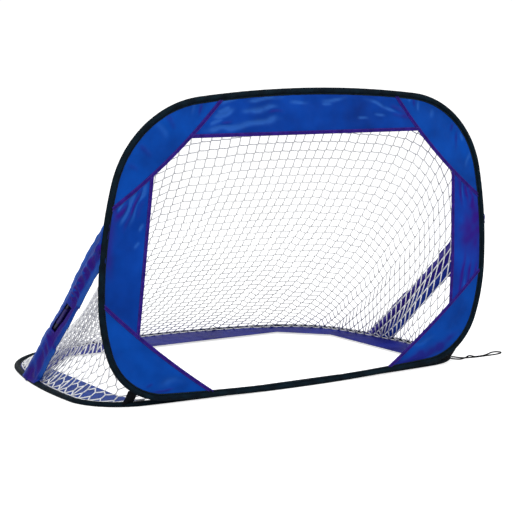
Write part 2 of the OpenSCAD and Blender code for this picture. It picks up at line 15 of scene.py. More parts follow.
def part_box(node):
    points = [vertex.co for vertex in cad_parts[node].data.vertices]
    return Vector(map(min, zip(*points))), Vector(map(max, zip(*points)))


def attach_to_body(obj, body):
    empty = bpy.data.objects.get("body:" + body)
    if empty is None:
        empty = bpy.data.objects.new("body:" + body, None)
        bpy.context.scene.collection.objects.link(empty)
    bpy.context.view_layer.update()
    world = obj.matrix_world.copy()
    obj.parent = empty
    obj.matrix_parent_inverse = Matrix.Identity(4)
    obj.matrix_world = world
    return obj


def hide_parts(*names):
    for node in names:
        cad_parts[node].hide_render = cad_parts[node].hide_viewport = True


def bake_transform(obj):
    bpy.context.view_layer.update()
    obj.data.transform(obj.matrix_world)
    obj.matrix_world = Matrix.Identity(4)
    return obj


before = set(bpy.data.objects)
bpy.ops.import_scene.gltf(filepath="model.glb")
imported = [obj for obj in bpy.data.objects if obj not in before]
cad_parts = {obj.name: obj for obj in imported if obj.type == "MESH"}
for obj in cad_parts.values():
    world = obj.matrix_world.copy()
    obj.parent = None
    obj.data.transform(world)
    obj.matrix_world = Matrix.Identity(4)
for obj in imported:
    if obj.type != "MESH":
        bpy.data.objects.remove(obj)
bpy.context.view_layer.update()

# ---- driving sizes ----
SIDES = {1: "right", -1: "left"}
HALVES = [(side, upper) for side in SIDES for upper in (False, True)]
MOUTH_W, MOUTH_H, MOUTH_BELLY = 1.2, 0.78, 0.284
MOUTH_LOW_RADII = (6.5, 0.177, 0.488)
MOUTH_HIGH_RADII = (3.09, 0.272, 1.134)
MOUTH_LEAN = math.radians(2.8)
GROUND_W, GROUND_D, GROUND_BELLY = 1.204, 0.855, 0.257
GROUND_FRONT_RADII = (6.6, 0.154, 1.98)
GROUND_REAR_RADII = (1.106, 0.267, 1.405)
RIM_R = 0.007
REST_FLAT = 0.0005
SEAT = 0.0003
BASE_Z = RIM_R - REST_FLAT
FRONT_Y = -(2 * RIM_R + SEAT)
FRONT_Z = RIM_R + SEAT
CLOTH_T = 0.0012
CLOTH_EDGE = 0.0055
HEAD_BAND_W = 0.113
SIDE_BAND_LOW_W, SIDE_BAND_HIGH_W = 0.09, 0.16
HEAD_GUSSET_W, HEAD_GUSSET_H = 0.362, 0.316
FOOT_GUSSET_W, FOOT_GUSSET_H = 0.326, 0.266
BASE_SIDE_BAND_W, BASE_REAR_BAND_W, BASE_BAND_NOSE = 0.121, 0.165, 0.06
REAR_GUSSET_W, REAR_GUSSET_D = 0.368, 0.438
STRUT_TOP_H, STRUT_FOOT_Y = 0.4, 0.45
PIVOT_RISE = 0.017


# ---- lines of points ----
def smoothstep(t):
    t = np.clip(t, 0, 1)
    return t * t * (3 - 2 * t)


def turns(count):
    """Angles of points spread evenly round a circle."""
    return 2 * math.pi * np.arange(count) / count


def beside(points, start, end):
    """Each point's share of the way from start to end, and its distance to the right of that line."""
    a, b = np.asarray(start, float), np.asarray(end, float)
    run = b - a
    right = np.array([run[1], -run[0]])
    return ((points - a) @ run) / (run @ run), (points - a) @ right / np.linalg.norm(run)


def travelled(points):
    """Distance from the first point to each point, along the line."""
    step = np.linalg.norm(np.diff(points, axis=0), axis=1)
    return np.concatenate([[0], np.cumsum(step)])


def at_distances(points, wanted):
    """Points at distances along a line of points."""
    along = travelled(points)
    return np.stack([np.interp(wanted, along, points[:, k]) for k in range(points.shape[1])], axis=1)


def resample(points, count):
    """Points spread evenly along a line of points."""
    return at_distances(points, np.linspace(0, travelled(points)[-1], count))


def through(points, steps):
    """A smooth line through given points."""
    p = np.asarray(points, float)
    out = []
    for i in range(len(p) - 1):
        a, b, c, d = p[max(0, i - 1)], p[i], p[i + 1], p[min(len(p) - 1, i + 2)]
        for t in np.arange(steps) / steps:
            square, cube = (2 * a - 5 * b + 4 * c - d) * t**2, (3 * b - a - 3 * c + d) * t**3
            out.append((2 * b + (c - a) * t + square + cube) / 2)
    return np.array([*out, p[-1]])


def cut(line, other, keep_after):
    """The stretch of a line of points before or after it crosses another line."""
    points = resample(np.asarray(line, float), 400)
    gaps = np.linalg.norm(points[:, None] - np.asarray(other, float)[None], axis=2).min(axis=1)
    k = int(np.argmin(gaps))
    return points[k:] if keep_after else points[: k + 1]


def sided(points, side):
    """Points of the right-hand half, mirrored for side -1."""
    points = np.asarray(points, float)
    return points * np.array([side, 1, 1][: points.shape[-1]])


def ripple(points, wavelength, seed, waves=14):
    """Smooth random height at each point, about -1 to 1, made of plane waves near one wavelength."""
    rng = np.random.default_rng(seed)
    p = np.asarray(points, float)
    total = np.zeros(len(p))
    for _ in range(waves):
        direction = rng.normal(size=p.shape[1])
        direction /= np.linalg.norm(direction)
        size = wavelength * rng.uniform(0.7, 1.6)
        total += np.sin(p @ direction * 2 * math.pi / size + rng.uniform(0, 2 * math.pi))
    return total / math.sqrt(waves)


# ---- hoops as chains of tangent arcs ----
def corner_centre(half, belly, end_r, corner_r, side_r):
    """Centre of the corner arc that is tangent inside the end arc and the side arc."""
    c1, c3 = np.array([0, end_r]), np.array([half - side_r, belly])
    d1, d3 = end_r - corner_r, side_r - corner_r
    gap = np.linalg.norm(c3 - c1)
    e = (c3 - c1) / gap
    a = (d1**2 - d3**2 + gap**2) / (2 * gap)
    h = math.sqrt(max(0, d1**2 - a**2))
    found = [c1 + a * e + side * h * np.array([e[1], -e[0]]) for side in (1, -1)]
    return max(found, key=lambda c: c[0] - c[1])


def quarter(half, belly, end_r, corner_r, side_r):
    """Right-hand quarter, from the middle of the lower edge to the widest place."""
    c1, c3 = np.array([0, end_r]), np.array([half - side_r, belly])
    c2 = corner_centre(half, belly, end_r, corner_r, side_r)
    t1, t3 = (math.atan2(c2[1] - c[1], c2[0] - c[0]) for c in (c1, c3))
    return [(c1, end_r, -math.pi / 2, t1), (c2, corner_r, t1, t3), (c3, side_r, t3, 0.0)]


def flip_arc(arc, height):
    """The same arc, seen from the hoop's other end."""
    centre, radius, start, end = arc
    return (np.array([centre[0], height - centre[1]]), radius, -end, -start)


class Hoop:
    """A closed hoop in its own plane, symmetrical about the middle of its lower edge."""

    def __init__(self, width, height, belly, low_radii, high_radii):
        low = quarter(width / 2, belly, *low_radii)
        high = [flip_arc(a, height) for a in quarter(width / 2, height - belly, *high_radii)]
        self.arcs = low + high[::-1]
        lengths = [r * (end - start) for _, r, start, end in self.arcs]
        self.starts = np.concatenate([[0], np.cumsum(lengths)])
        self.half = self.starts[-1]

    def at(self, distance, inset=0.0):
        """Points at signed distances along the hoop, moved in from its centreline."""
        d = (np.atleast_1d(np.asarray(distance, float)) + self.half) % (2 * self.half) - self.half
        along = np.abs(d)
        i = np.clip(np.searchsorted(self.starts, along, side="right") - 1, 0, len(self.arcs) - 1)
        centre, radius, start = (np.array([arc[k] for arc in self.arcs])[i] for k in range(3))
        angle = start + (along - self.starts[i]) / radius
        x = centre[:, 0] + (radius - inset) * np.cos(angle)
        y = centre[:, 1] + (radius - inset) * np.sin(angle)
        return np.stack([np.where(d < 0, -x, x), y], axis=1)

    def cloth_edge(self, low, high, count=200):
        """Points where the cloth enters the binding, from one distance to another."""
        return self.at(np.linspace(low, high, count), CLOTH_EDGE)

    def crossing(self, line, low, high):
        """Distance along the hoop, between two distances, at which it crosses a line."""
        tries = np.linspace(low, high, 2001)
        side = beside(self.at(tries), *line)[1]
        k = np.flatnonzero(side[:-1] * side[1:] <= 0)[0]
        return tries[k] + (tries[k + 1] - tries[k]) * side[k] / (side[k] - side[k + 1])

    def half_width(self, height):
        """Half width at a height that lies on the upper side arc."""
        centre, radius = self.arcs[3][:2]
        return centre[0] + np.sqrt(radius**2 - (height - centre[1]) ** 2)


MOUTH = Hoop(MOUTH_W, MOUTH_H, MOUTH_BELLY, MOUTH_LOW_RADII, MOUTH_HIGH_RADII)
GROUND = Hoop(GROUND_W, GROUND_D, GROUND_BELLY, GROUND_FRONT_RADII, GROUND_REAR_RADII)
HEAD_LINE = ((MOUTH_W / 2, MOUTH_H - HEAD_GUSSET_H), (MOUTH_W / 2 - HEAD_GUSSET_W, MOUTH_H))
FOOT_LINE = ((MOUTH_W / 2 - FOOT_GUSSET_W, 0), (MOUTH_W / 2, FOOT_GUSSET_H))
SIDE_LINE = ((MOUTH_W / 2 - SIDE_BAND_LOW_W, 0), (MOUTH_W / 2 - SIDE_BAND_HIGH_W, MOUTH_H))
TOP_LINE = ((MOUTH_W / 2, MOUTH_H - HEAD_BAND_W), (-MOUTH_W / 2, MOUTH_H - HEAD_BAND_W))
REAR_LINE = ((GROUND_W / 2, GROUND_D - REAR_GUSSET_D), (GROUND_W / 2 - REAR_GUSSET_W, GROUND_D))


def on_mouth(points, back=0.0):
    """Points of the mouth hoop's plane, a distance behind it, in the object's frame."""
    p = np.atleast_2d(points)
    y = FRONT_Y - p[:, 1] * math.sin(MOUTH_LEAN) + back * math.cos(MOUTH_LEAN)
    z = FRONT_Z + p[:, 1] * math.cos(MOUTH_LEAN) + back * math.sin(MOUTH_LEAN)
    return np.stack([p[:, 0], y, z], axis=1)


def on_ground(points, up=0.0):
    """Points of the ground hoop's plane, a distance above it, in the object's frame."""
    p = np.atleast_2d(points)
    return np.stack([p[:, 0], p[:, 1], BASE_Z + up + 0 * p[:, 0]], axis=1)


BODY = {on_mouth: "front", on_ground: "base"}


# ---- meshes ----
def make_object(name, vertices, faces, material, uvs=None, shade=None):
    """A smooth mesh object from arrays; uvs has one pair for each vertex, shade one number of painted
    shade, below 0 a painted highlight.
    """
    mesh = bpy.data.meshes.new(name)
    mesh.from_pydata(np.asarray(vertices).tolist(), [], [list(f) for f in faces])
    if uvs is not None:
        layer = mesh.uv_layers.new(name="cloth")
        loops = np.zeros(len(mesh.loops), np.int32)
        mesh.loops.foreach_get("vertex_index", loops)
        layer.data.foreach_set("uv", np.asarray(uvs, np.float32)[loops].ravel())
    if shade is not None:
        attribute = mesh.attributes.new("shade", "FLOAT", "POINT")
        attribute.data.foreach_set("value", np.asarray(shade, np.float32))
    mesh.materials.append(material)
    work = bmesh.new()
    work.from_mesh(mesh)
    bmesh.ops.recalc_face_normals(work, faces=work.faces)
    work.to_mesh(mesh)
    work.free()
    mesh.polygons.foreach_set("use_smooth", [True] * len(mesh.polygons))
    return add_to_scene(name, mesh)


def add_to_scene(name, data):
    obj = bpy.data.objects.new(name, data)
    bpy.context.scene.collection.objects.link(obj)
    return obj


def attach(piece, body=None, node=None):
    """Gives a piece the body it rides on, and hides the CAD node it stands for."""
    if body:
        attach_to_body(piece, body)
    if node:
        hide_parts(node)


def grid_faces(rows, columns, start=0, wrap=False):
    """Quads of a grid whose points run along each row."""
    quads = []
    for i in range(rows - 1):
        for j in range(columns if wrap else columns - 1):
            a, b = (start + i * columns + k for k in (j, (j + 1) % columns))
            quads.append((a, b, b + columns, a + columns))
    return quads


def tube_faces(rows, around):
    """Faces of a tube made of rings, with both ends closed."""
    ends = [tuple(range(around))[::-1], tuple(range((rows - 1) * around, rows * around))]
    return grid_faces(rows, around, wrap=True) + ends


def hoop_faces(rows, around):
    """Quads of a tube whose last ring meets its first."""
    return [tuple(v % (rows * around) for v in f) for f in grid_faces(rows + 1, around, wrap=True)]


def grid_uvs(along, across):
    """A pair for each point of a grid, from the places of its rows and columns."""
    return np.stack([np.repeat(along, len(across)), np.tile(across, len(along))], axis=1)


def both_faces(section):
    """A section's upper side, then the same from below."""
    return section + [(across, -height) for across, height in section[::-1]]


def shell(name, front, back, material, uvs, holes=None, shade=None):
    """A closed sheet from the grids of its two faces, rows x columns x 3; holes marks quads left out."""
    rows, columns = front.shape[:2]
    count = rows * columns
    keep = np.ones((rows - 1, columns - 1), bool) if holes is None else ~holes
    near, far = grid_faces(rows, columns), grid_faces(rows, columns, count)
    faces = [f for f, k in zip(near, keep.ravel()) if k]
    faces += [f[::-1] for f, k in zip(far, keep.ravel()) if k]
    padded = np.zeros((rows + 1, columns + 1), bool)
    padded[1:-1, 1:-1] = keep
    down, over = padded[:, 1:-1], padded[1:-1]
    edges = [(i * columns + j, 1) for i, j in zip(*np.nonzero(down[:-1] != down[1:]))]
    edges += [(i * columns + j, columns) for i, j in zip(*np.nonzero(over[:, :-1] != over[:, 1:]))]
    faces += [(a, a + step, a + step + count, a + count) for a, step in edges]
    vertices = np.concatenate([front.reshape(-1, 3), back.reshape(-1, 3)])
    shade = None if shade is None else np.concatenate([shade, shade])
    return make_object(name, vertices, faces, material, np.concatenate([uvs, uvs]), shade)


def tubes(starts, ends, radius, sides, profile, sag=0.0):
    """Vertices and faces of many short tubes; profile gives places along each and shares of the radius."""
    starts, ends = np.asarray(starts, float), np.asarray(ends, float)
    run = ends - starts
    length = np.linalg.norm(run, axis=1, keepdims=True)
    forward = run / np.maximum(length, 1e-9)
    helper = np.where(np.abs(forward[:, 2:3]) > 0.8, [[1.0, 0, 0]], [[0, 0, 1.0]])
    side = np.cross(forward, helper)
    side /= np.linalg.norm(side, axis=1, keepdims=True)
    up = np.cross(side, forward)
    cos, sin = (f(turns(sides))[None, :, None] for f in (np.cos, np.sin))
    rings = []
    for t, share in profile:
        centre = starts + run * t - np.array([0, 0, 1.0]) * sag * 4 * t * (1 - t)
        rings.append(centre[:, None] + radius * share * (side[:, None] * cos + up[:, None] * sin))
    size = len(profile) * sides
    one = tube_faces(len(profile), sides)
    faces = [tuple(v + k * size for v in f) for k in range(len(starts)) for f in one]
    return np.stack(rings, axis=1).reshape(-1, 3), faces


STITCH_PROFILE = ((0, 0.35), (0.25, 1.0), (0.75, 1.0), (1, 0.35))
STITCH_SHARE = 0.62


def stitches(name, lines, material, body, pitch=0.0042, radius=0.00042):
    """One object that holds every stitch of some seam lines."""
    starts, ends = [], []
    for line in lines:
        length = travelled(line)[-1]
        count = max(1, int(length / pitch))
        first = np.arange(count) * length / count
        starts.append(at_distances(line, first))
        ends.append(at_distances(line, first + STITCH_SHARE * length / count))
    made = tubes(np.concatenate(starts), np.concatenate(ends), radius, 4, STITCH_PROFILE)
    attach(make_object(name, *made, material), body)


# ---- materials ----
class Surface:
    """A procedural material under construction, with its Principled shader."""

    def __init__(self, name, roughness=0.5, **sockets):
        self.material = bpy.data.materials.new(name)
        self.material.use_nodes = True
        self.tree = self.material.node_tree
        self.tree.nodes.clear()
        self.shader = self.add("ShaderNodeBsdfPrincipled")
        output = self.add("ShaderNodeOutputMaterial")
        self.link(self.shader.outputs["BSDF"], output.inputs["Surface"])
        self.shader.inputs["Roughness"].default_value = roughness
        for socket, value in sockets.items():
            self.shader.inputs[socket.replace("_", " ")].default_value = value

    def add(self, kind, inputs=None, **settings):
        made = self.tree.nodes.new(kind)
        for key, value in settings.items():
            setattr(made, key, value)
        for key, value in (inputs or {}).items():
            if isinstance(value, bpy.types.NodeSocket):
                self.link(value, made.inputs[key])
            else:
                made.inputs[key].default_value = value
        return made

    def link(self, source, target):
        self.tree.links.new(source, target)

    def cloth_place(self):
        """Coordinates in metres along the cloth."""
        return self.add("ShaderNodeUVMap", uv_map="cloth").outputs["UV"]

    def object_place(self):
        """Coordinates in metres in the object's frame."""
        return self.add("ShaderNodeTexCoord").outputs["Object"]

    def noise(self, place, scale, detail=2.0, stretch=(1, 1, 1)):
        place = self.add("ShaderNodeMapping", {"Vector": place, "Scale": stretch}).outputs["Vector"]
        inputs = {"Vector": place, "Scale": scale, "Detail": detail}
        return self.add("ShaderNodeTexNoise", inputs).outputs["Fac"]

    def weave(self, place, pitch):
        """Height of crossing threads, 0 to 1."""
        inputs = {"Vector": place, "Scale": 0.5 / pitch, "Distortion": 0.0}
        waves = [self.add("ShaderNodeTexWave", inputs, bands_direction=axis) for axis in "XY"]
        return self.maths("MULTIPLY", *(wave.outputs["Fac"] for wave in waves))

    def maths(self, operation, a, b):
        return self.add("ShaderNodeMath", {0: a, 1: b}, operation=operation).outputs[0]

    def ramp(self, factor, stops):
        """A colour that passes through stops, each a position and a scene colour, as factor rises."""
        made = self.add("ShaderNodeValToRGB", {"Fac": factor})
        elements = made.color_ramp.elements
        while len(elements) < len(stops):
            elements.new(0.5)
        for element, (position, colour) in zip(elements, stops):
            element.position, element.color = position, colour
        return made.outputs["Color"]

    def mixed(self, factor, socket, colour):
        """A colour socket that turns to a plain scene colour as factor goes to 1."""
        made = self.add("ShaderNodeMix", data_type="RGBA", clamp_factor=True)
        self.link(factor, made.inputs[0])
        self.link(socket, made.inputs[6])
        made.inputs[7].default_value = colour
        return made.outputs[2]

    def colour(self, socket):
        self.link(socket, self.shader.inputs["Base Color"])

    def rough(self, factor, low, high):
        made = self.add("ShaderNodeMapRange", {"Value": factor, "To Min": low, "To Max": high})
        self.link(made.outputs["Result"], self.shader.inputs["Roughness"])

    def bump(self, heights):
        """Stacks bumps from (height, strength, distance)."""
        normal = None
        for height, strength, distance in heights:
            inputs = {"Height": height, "Strength": strength, "Distance": distance}
            if normal is not None:
                inputs["Normal"] = normal
            normal = self.add("ShaderNodeBump", inputs).outputs["Normal"]
        self.link(normal, self.shader.inputs["Normal"])


def linear(colour):
    """Scene colour, with full alpha, from a display colour of 0 to 255."""
    shares = [value / 255 for value in colour]
    return (*(v / 12.92 if v <= 0.04045 else ((v + 0.055) / 1.055) ** 2.4 for v in shares), 1)


# painted highlight: the colour that crests of folds take where the shade attribute is below 0
GLINT = (54, 110, 190)


def nylon(name, *colours):
    """Coated nylon: a plain weave and slow changes of tint, with painted shade in its folds and a painted
    highlight on their crests.
    """
    dark, base, light, shaded, glint = map(linear, (*colours, GLINT))
    s = Surface(name, Specular_IOR_Level=0.05)
    place = s.cloth_place()
    slow, fine = s.noise(place, 9.0, 3.0), s.noise(place, 900.0, 1.0)
    tint = s.maths("ADD", s.maths("MULTIPLY", slow, 0.85), s.maths("MULTIPLY", fine, 0.15))
    shade = s.add("ShaderNodeAttribute", attribute_name="shade").outputs["Fac"]
    # painted shade towards the shaded colour where shade is above 0, painted highlight where it is below 0
    folded = s.mixed(shade, s.ramp(tint, [(0.3, dark), (0.52, base), (0.75, light)]), shaded)
    s.colour(s.mixed(s.maths("MULTIPLY", shade, -1.0), folded, glint))
    s.rough(slow, 0.42, 0.6)
    s.bump([(s.noise(place, 60.0, 3.0), 0.25, 0.0012), (s.weave(place, 0.0011), 0.35, 0.0002)])
    return s.material


def webbing(name, dark, light, pitch):
    """Narrow woven tape: ribs across it and threads along it."""
    s = Surface(name, Specular_IOR_Level=0.05)
    place = s.cloth_place()
    slow = s.noise(place, 40.0, 3.0)
    s.colour(s.ramp(slow, [(0.3, linear(dark)), (0.7, linear(light))]))
    s.rough(slow, 0.55, 0.75)
    s.bump([(s.noise(place, 180.0, 2.0), 0.3, 0.0006), (s.weave(place, pitch), 0.6, 0.0004)])
    return s.material


def solid(name, dark, light, scale, roughness, bump=(0.1, 0.0003), stretch=(1, 1, 1), **sockets):
    """A plain material with grain: plastic, fibre, metal or thread."""
    s = Surface(name, **sockets)
    grain = s.noise(s.object_place(), scale, 4.0, stretch)
    s.colour(s.ramp(grain, [(0.3, linear(dark)), (0.7, linear(light))]))
    s.rough(grain, *roughness)
    s.bump([(grain, *bump)])
    return s.material


# each nylon's fourth colour is the painted shade of its folds
CORNER_CLOTH = nylon("corner_cloth", (0, 44, 118), (0, 58, 142), (2, 68, 160), (22, 30, 116))
BAND_CLOTH = nylon("band_cloth", (0, 38, 112), (0, 50, 134), (4, 62, 154), (38, 20, 112))
# band_cloth made a little more violet for the front right band: painted shade on that band
RIGHT_BAND_SHADED_CLOTH = nylon("right_band_shaded_cloth", (10, 36, 116), (8, 48, 140), (4, 60, 154), (38, 18, 114))
# a darker, more violet copy of the cloth for the base's rear band, rear corners and right band, inside the
# goal: painted shade
REAR_SHADED_CLOTH = nylon("rear_cloth", (12, 16, 98), (20, 28, 120), (32, 46, 142), (24, 14, 92))
SLEEVE_CLOTH = nylon("sleeve_cloth", (4, 36, 116), (6, 52, 142), (12, 68, 164), (40, 16, 112))
BINDING = webbing("rim_binding", (2, 9, 17), (8, 25, 35), 0.0014)
TAPE = webbing("seam_tape", (26, 10, 84), (48, 24, 118), 0.0013)
STRAP = webbing("black_webbing", (2, 4, 8), (12, 15, 20), 0.002)
POCKET = webbing("pocket_webbing", (16, 20, 84), (30, 36, 112), 0.0018)
THREAD = solid("black_thread", (12, 14, 20), (34, 40, 50), 900, (0.5, 0.7))
TAPE_THREAD = solid("violet_thread", (44, 30, 124), (70, 54, 152), 900, (0.45, 0.65))
NET_CORD = solid("net_cord", (216, 217, 219), (229, 230, 231), 1400, (0.5, 0.7), (0.4, 0.0004))
ELASTIC = solid(
    "black_elastic", (4, 5, 8), (16, 18, 22), 1800, (0.75, 0.9), (0.6, 0.0004), Specular_IOR_Level=0.1
)
SHOCK = solid("shock_cord", (206, 206, 200), (236, 236, 230), 1600, (0.55, 0.75), (0.6, 0.0004))
STEEL = solid("spring_steel", (120, 122, 126), (168, 170, 174), 300, (0.25, 0.4), Metallic=1.0)
# the pole ferrule, seen through the sleeve's window, takes the dark violet of the shade there: painted
# shade, not a metal finish
FERRULE_SLOT_SHADE = solid("ferrule_slot_shade", (28, 14, 86), (44, 24, 112), 500, (0.45, 0.6), Metallic=0.1)
ALUMINIUM = solid("ferrule_metal", (150, 152, 156), (196, 198, 202), 500, (0.22, 0.36), Metallic=1.0)
FIBRE = solid("pole_fibre", (16, 14, 36), (34, 30, 62), 420, (0.32, 0.5), (0.2, 0.0003), (1, 1, 0.08))
PLASTIC = solid("tip_plastic", (12, 12, 14), (34, 34, 38), 700, (0.35, 0.5), (0.25, 0.0003))


# ---- camera ----
CAMERA_AT = (-2.158, -3.257, 0.848)
CAMERA_YAW, CAMERA_PITCH, CAMERA_ROLL = 0.558, 0.127, -0.005
CAMERA_LENS, CAMERA_SENSOR = 104.54, 36.0
CAMERA_SHIFT = (-0.0088, 0.0005)


def place_camera():
    yaw, pitch, roll = CAMERA_YAW, CAMERA_PITCH, CAMERA_ROLL
    forward = Vector((math.sin(yaw) * math.cos(pitch), math.cos(yaw) * math.cos(pitch), -math.sin(pitch)))
    right = Vector((math.cos(yaw), -math.sin(yaw), 0))
    up = right.cross(forward)
    turned = math.cos(roll) * right + math.sin(roll) * up
    risen = -math.sin(roll) * right + math.cos(roll) * up
    turn = Matrix((turned, risen, -forward)).transposed().to_4x4()
    data = bpy.data.cameras.new("camera")
    data.lens, data.sensor_width = CAMERA_LENS, CAMERA_SENSOR
    data.shift_x, data.shift_y = CAMERA_SHIFT
    camera = add_to_scene("camera", data)
    camera.matrix_world = Matrix.Translation(CAMERA_AT) @ turn
    bpy.context.scene.camera = camera


# ---- carrying loop, the object's one free cord ----
LOOP_LENGTH, LOOP_D = 0.409, 0.004
LOOP_ROUTE = [
    (0.5695, 0.0658, 0.0062), (0.577, 0.0595, 0.0052), (0.588, 0.052, 0.0034), (0.604, 0.045, 0.0023),
    (0.624, 0.0395, 0.0022), (0.646, 0.0365, 0.0022), (0.670, 0.036, 0.0022), (0.695, 0.036, 0.0022),
    (0.718, 0.037, 0.0022), (0.738, 0.043, 0.0022), (0.748, 0.054, 0.0022), (0.742, 0.066, 0.0022),
    (0.726, 0.067, 0.0022), (0.706, 0.058, 0.0022), (0.684, 0.047, 0.0022), (0.662, 0.042, 0.0022),
    (0.640, 0.0425, 0.0026), (0.619, 0.0435, 0.0071), (0.599, 0.037, 0.0044), (0.578, 0.034, 0.003),
    (0.5595, 0.039, 0.0048), (0.5517, 0.0477, 0.0062),
]  # fmt: skip


def make_loop():
    curve = bpy.data.curves.new("carrying_loop_cord", "CURVE")
    curve.dimensions = "3D"
    curve.bevel_depth, curve.bevel_resolution = LOOP_D / 2, 4
    curve.use_fill_caps = True
    line = through(LOOP_ROUTE, 5)
    spline = curve.splines.new("POLY")
    spline.points.add(len(line) - 1)
    spline.points.foreach_set("co", np.column_stack([line, np.ones(len(line))]).ravel())
    curve.materials.append(ELASTIC)
    loop = add_to_scene("carrying_loop_cord", curve)
    attach(loop, "base", "carrying_loop")


# ---- rims: cloth binding gathered round each spring rod ----
RIM_STEP, RIM_SIDES = 0.0045, 20
PROBE = 0.01
PUCKER, PUCKER_LEN, PUCKER_R, PUCKER_SEED = 0.045, 0.013, 0.012, 11
LIP_WAVE, LIP_WAVE_LEN, LIP_WAVE_SEED = 0.00025, 0.02, 5
# across the sewn lip: distance inside the rim's centreline, and share of the lip's thickness
LIP_T = 0.0032
LIP_SECTION = both_faces([(0.005, 0.5), (0.0085, 0.5), (0.0108, 0.42), (0.0115, 0.15)])
LIP_FREE, LIP_STITCHES, LIP_STITCH_RISE = 0.008, 0.0097, 0.46


def make_rim(name, hoop, place, node, lowest):
    """The binding tube with its sewn lip; nothing of the tube reaches below lowest."""
    body = BODY[place]
    count = int(2 * hoop.half / RIM_STEP)
    distance = np.arange(count) * 2 * hoop.half / count - hoop.half
    centre = hoop.at(distance)
    inward = (hoop.at(distance, PROBE) - centre) / PROBE
    # the binding puckers where it is drawn in by the seam, least on its outer side
    d, a = np.repeat(distance, RIM_SIDES), np.tile(turns(RIM_SIDES), count)
    ring = np.stack([np.cos(a) * PUCKER_R, np.sin(a) * PUCKER_R, d], axis=1)
    pucker = ripple(ring, PUCKER_LEN, PUCKER_SEED) * (0.35 + 0.65 * (0.5 + 0.5 * np.cos(a)))
    radius = RIM_R * (1 + PUCKER * pucker)
    offset = np.repeat(inward, RIM_SIDES, axis=0) * (radius * np.cos(a))[:, None]
    vertices = place(np.repeat(centre, RIM_SIDES, axis=0) + offset, radius * np.sin(a))
    vertices[:, 2] = np.maximum(vertices[:, 2], lowest)
    uvs = np.stack([d, a * RIM_R], axis=1)
    attach(make_object(name, vertices, hoop_faces(count, RIM_SIDES), BINDING, uvs), body, node)

    # the seam allowance: the binding's two edges, sewn flat over the cloth
    wave = ripple(np.stack([distance, 0 * distance], axis=1), LIP_WAVE_LEN, LIP_WAVE_SEED) * LIP_WAVE
    rings = [place(hoop.at(distance, i), share * LIP_T + wave * (i > LIP_FREE)) for i, share in LIP_SECTION]
    points = np.stack(rings, axis=1).reshape(-1, 3)
    uvs = grid_uvs(distance, [inset for inset, _ in LIP_SECTION])
    lip = make_object(name + "_seam", points, hoop_faces(count, len(LIP_SECTION)), BINDING, uvs)
    attach(lip, body)
    seam_line = hoop.at(np.linspace(-hoop.half, hoop.half, count), LIP_STITCHES)
    lines = [place(seam_line, side * (LIP_T * LIP_STITCH_RISE)) for side in (1, -1)]
    stitches(name + "_stitches", lines, THREAD, body, pitch=0.0048)


# ---- seams of the cloth borders ----
EDGES = {
    "head_side": MOUTH.crossing(HEAD_LINE, MOUTH.half * 0.35, MOUTH.half * 0.62),
    "head_top": MOUTH.crossing(HEAD_LINE, MOUTH.half * 0.68, MOUTH.half * 0.98),
    "foot_side": MOUTH.crossing(FOOT_LINE, MOUTH.half * 0.35, MOUTH.half * 0.5),
    "foot_sill": MOUTH.crossing(FOOT_LINE, 0.05, MOUTH.half * 0.25),
    "rear_side": GROUND.crossing(REAR_LINE, GROUND.half * 0.4, GROUND.half * 0.6),
    "rear_back": GROUND.crossing(REAR_LINE, GROUND.half * 0.75, GROUND.half * 0.99),
}
# the sewn goal is not quite symmetrical: how far a seam's end moves along the rim
EDGE_SHIFT = {(1, "head_top"): -0.024, (-1, "head_top"): -0.018, (-1, "head_side"): 0.022}


def edge_at(side, name):
    """Distance along the hoop of a seam's end, on one side."""
    return EDGES[name] + EDGE_SHIFT.get((side, name), 0.0)


def seams(hoop, low, high, bow):
    """The seam between two named ends on each side, which bows a little to its right."""
    made = {}
    t = np.linspace(0, 1, 90)
    for side in SIDES:
        a, b = hoop.at([edge_at(side, low), edge_at(side, high)], CLOTH_EDGE)
        run = b - a
        normal = np.array([run[1], -run[0]]) / np.linalg.norm(run)
        made[side] = a + run * t[:, None] + normal * (bow * 4 * t * (1 - t))[:, None]
    return made


HEAD_SEAM = seams(MOUTH, "head_side", "head_top", -0.014)
FOOT_SEAM = seams(MOUTH, "foot_sill", "foot_side", 0.008)
REAR_SEAM = seams(GROUND, "rear_side", "rear_back", 0.0)
# the opening leans a little to the left, as pulled out of its bag
OPENING_LINE = {1: [(0.487, 0), (0.489, 0.3), (0.474, 0.62)], -1: SIDE_LINE}
SIDE_EDGE = {s: cut(cut(OPENING_LINE[s], FOOT_SEAM[s], True), HEAD_SEAM[s], False) for s in SIDES}
TOP_EDGE = cut(cut(TOP_LINE, HEAD_SEAM[1], True), sided(HEAD_SEAM[-1], -1), False)

# Creases of each panel in its hoop's plane, in millimetres: start, end, width and height, then the painted
# shade, which is below 0 for a painted highlight on a crest; a mark of height 0 is painted shade alone.
TOP_MARKS = [
    (-270, 750, -220, 765, 4, 1.8, -0.55), (-280, 730, -245, 740, 4, 1.8, -0.6),
    (-290, 715, -230, 735, 6, 2.4, -0.65), (-300, 700, -265, 710, 3.5, 1.6, -0.6),
    (-205, 730, -105, 740, 6, 2.6, -0.55), (-130, 725, -85, 730, 4, -1, 0.4),
    (-315, 685, -200, 695, 6, 2.4, -0.5), (-220, 692, -95, 710, 6, 2.6, -0.6),
    (-270, 700, -235, 705, 4, -1, 0.4), (-190, 755, -90, 765, 4, 1.6, -0.5),
    (-65, 750, -10, 750, 4, 1.8, -0.55), (35, 750, 110, 760, 4, 1.4, -0.45),
    (35, 743, 65, 745, 3, 1.4, -0.6), (175, 755, 300, 710, 4, 1.8, -0.4),
    (265, 715, 330, 700, 6, -1.2, 0.5), (255, 735, 310, 715, 5, -1.2, 0.5),
    (150, 705, 185, 705, 3, 1.4, -0.5), (205, 715, 240, 710, 3, 1.4, -0.45),
]  # fmt: skip
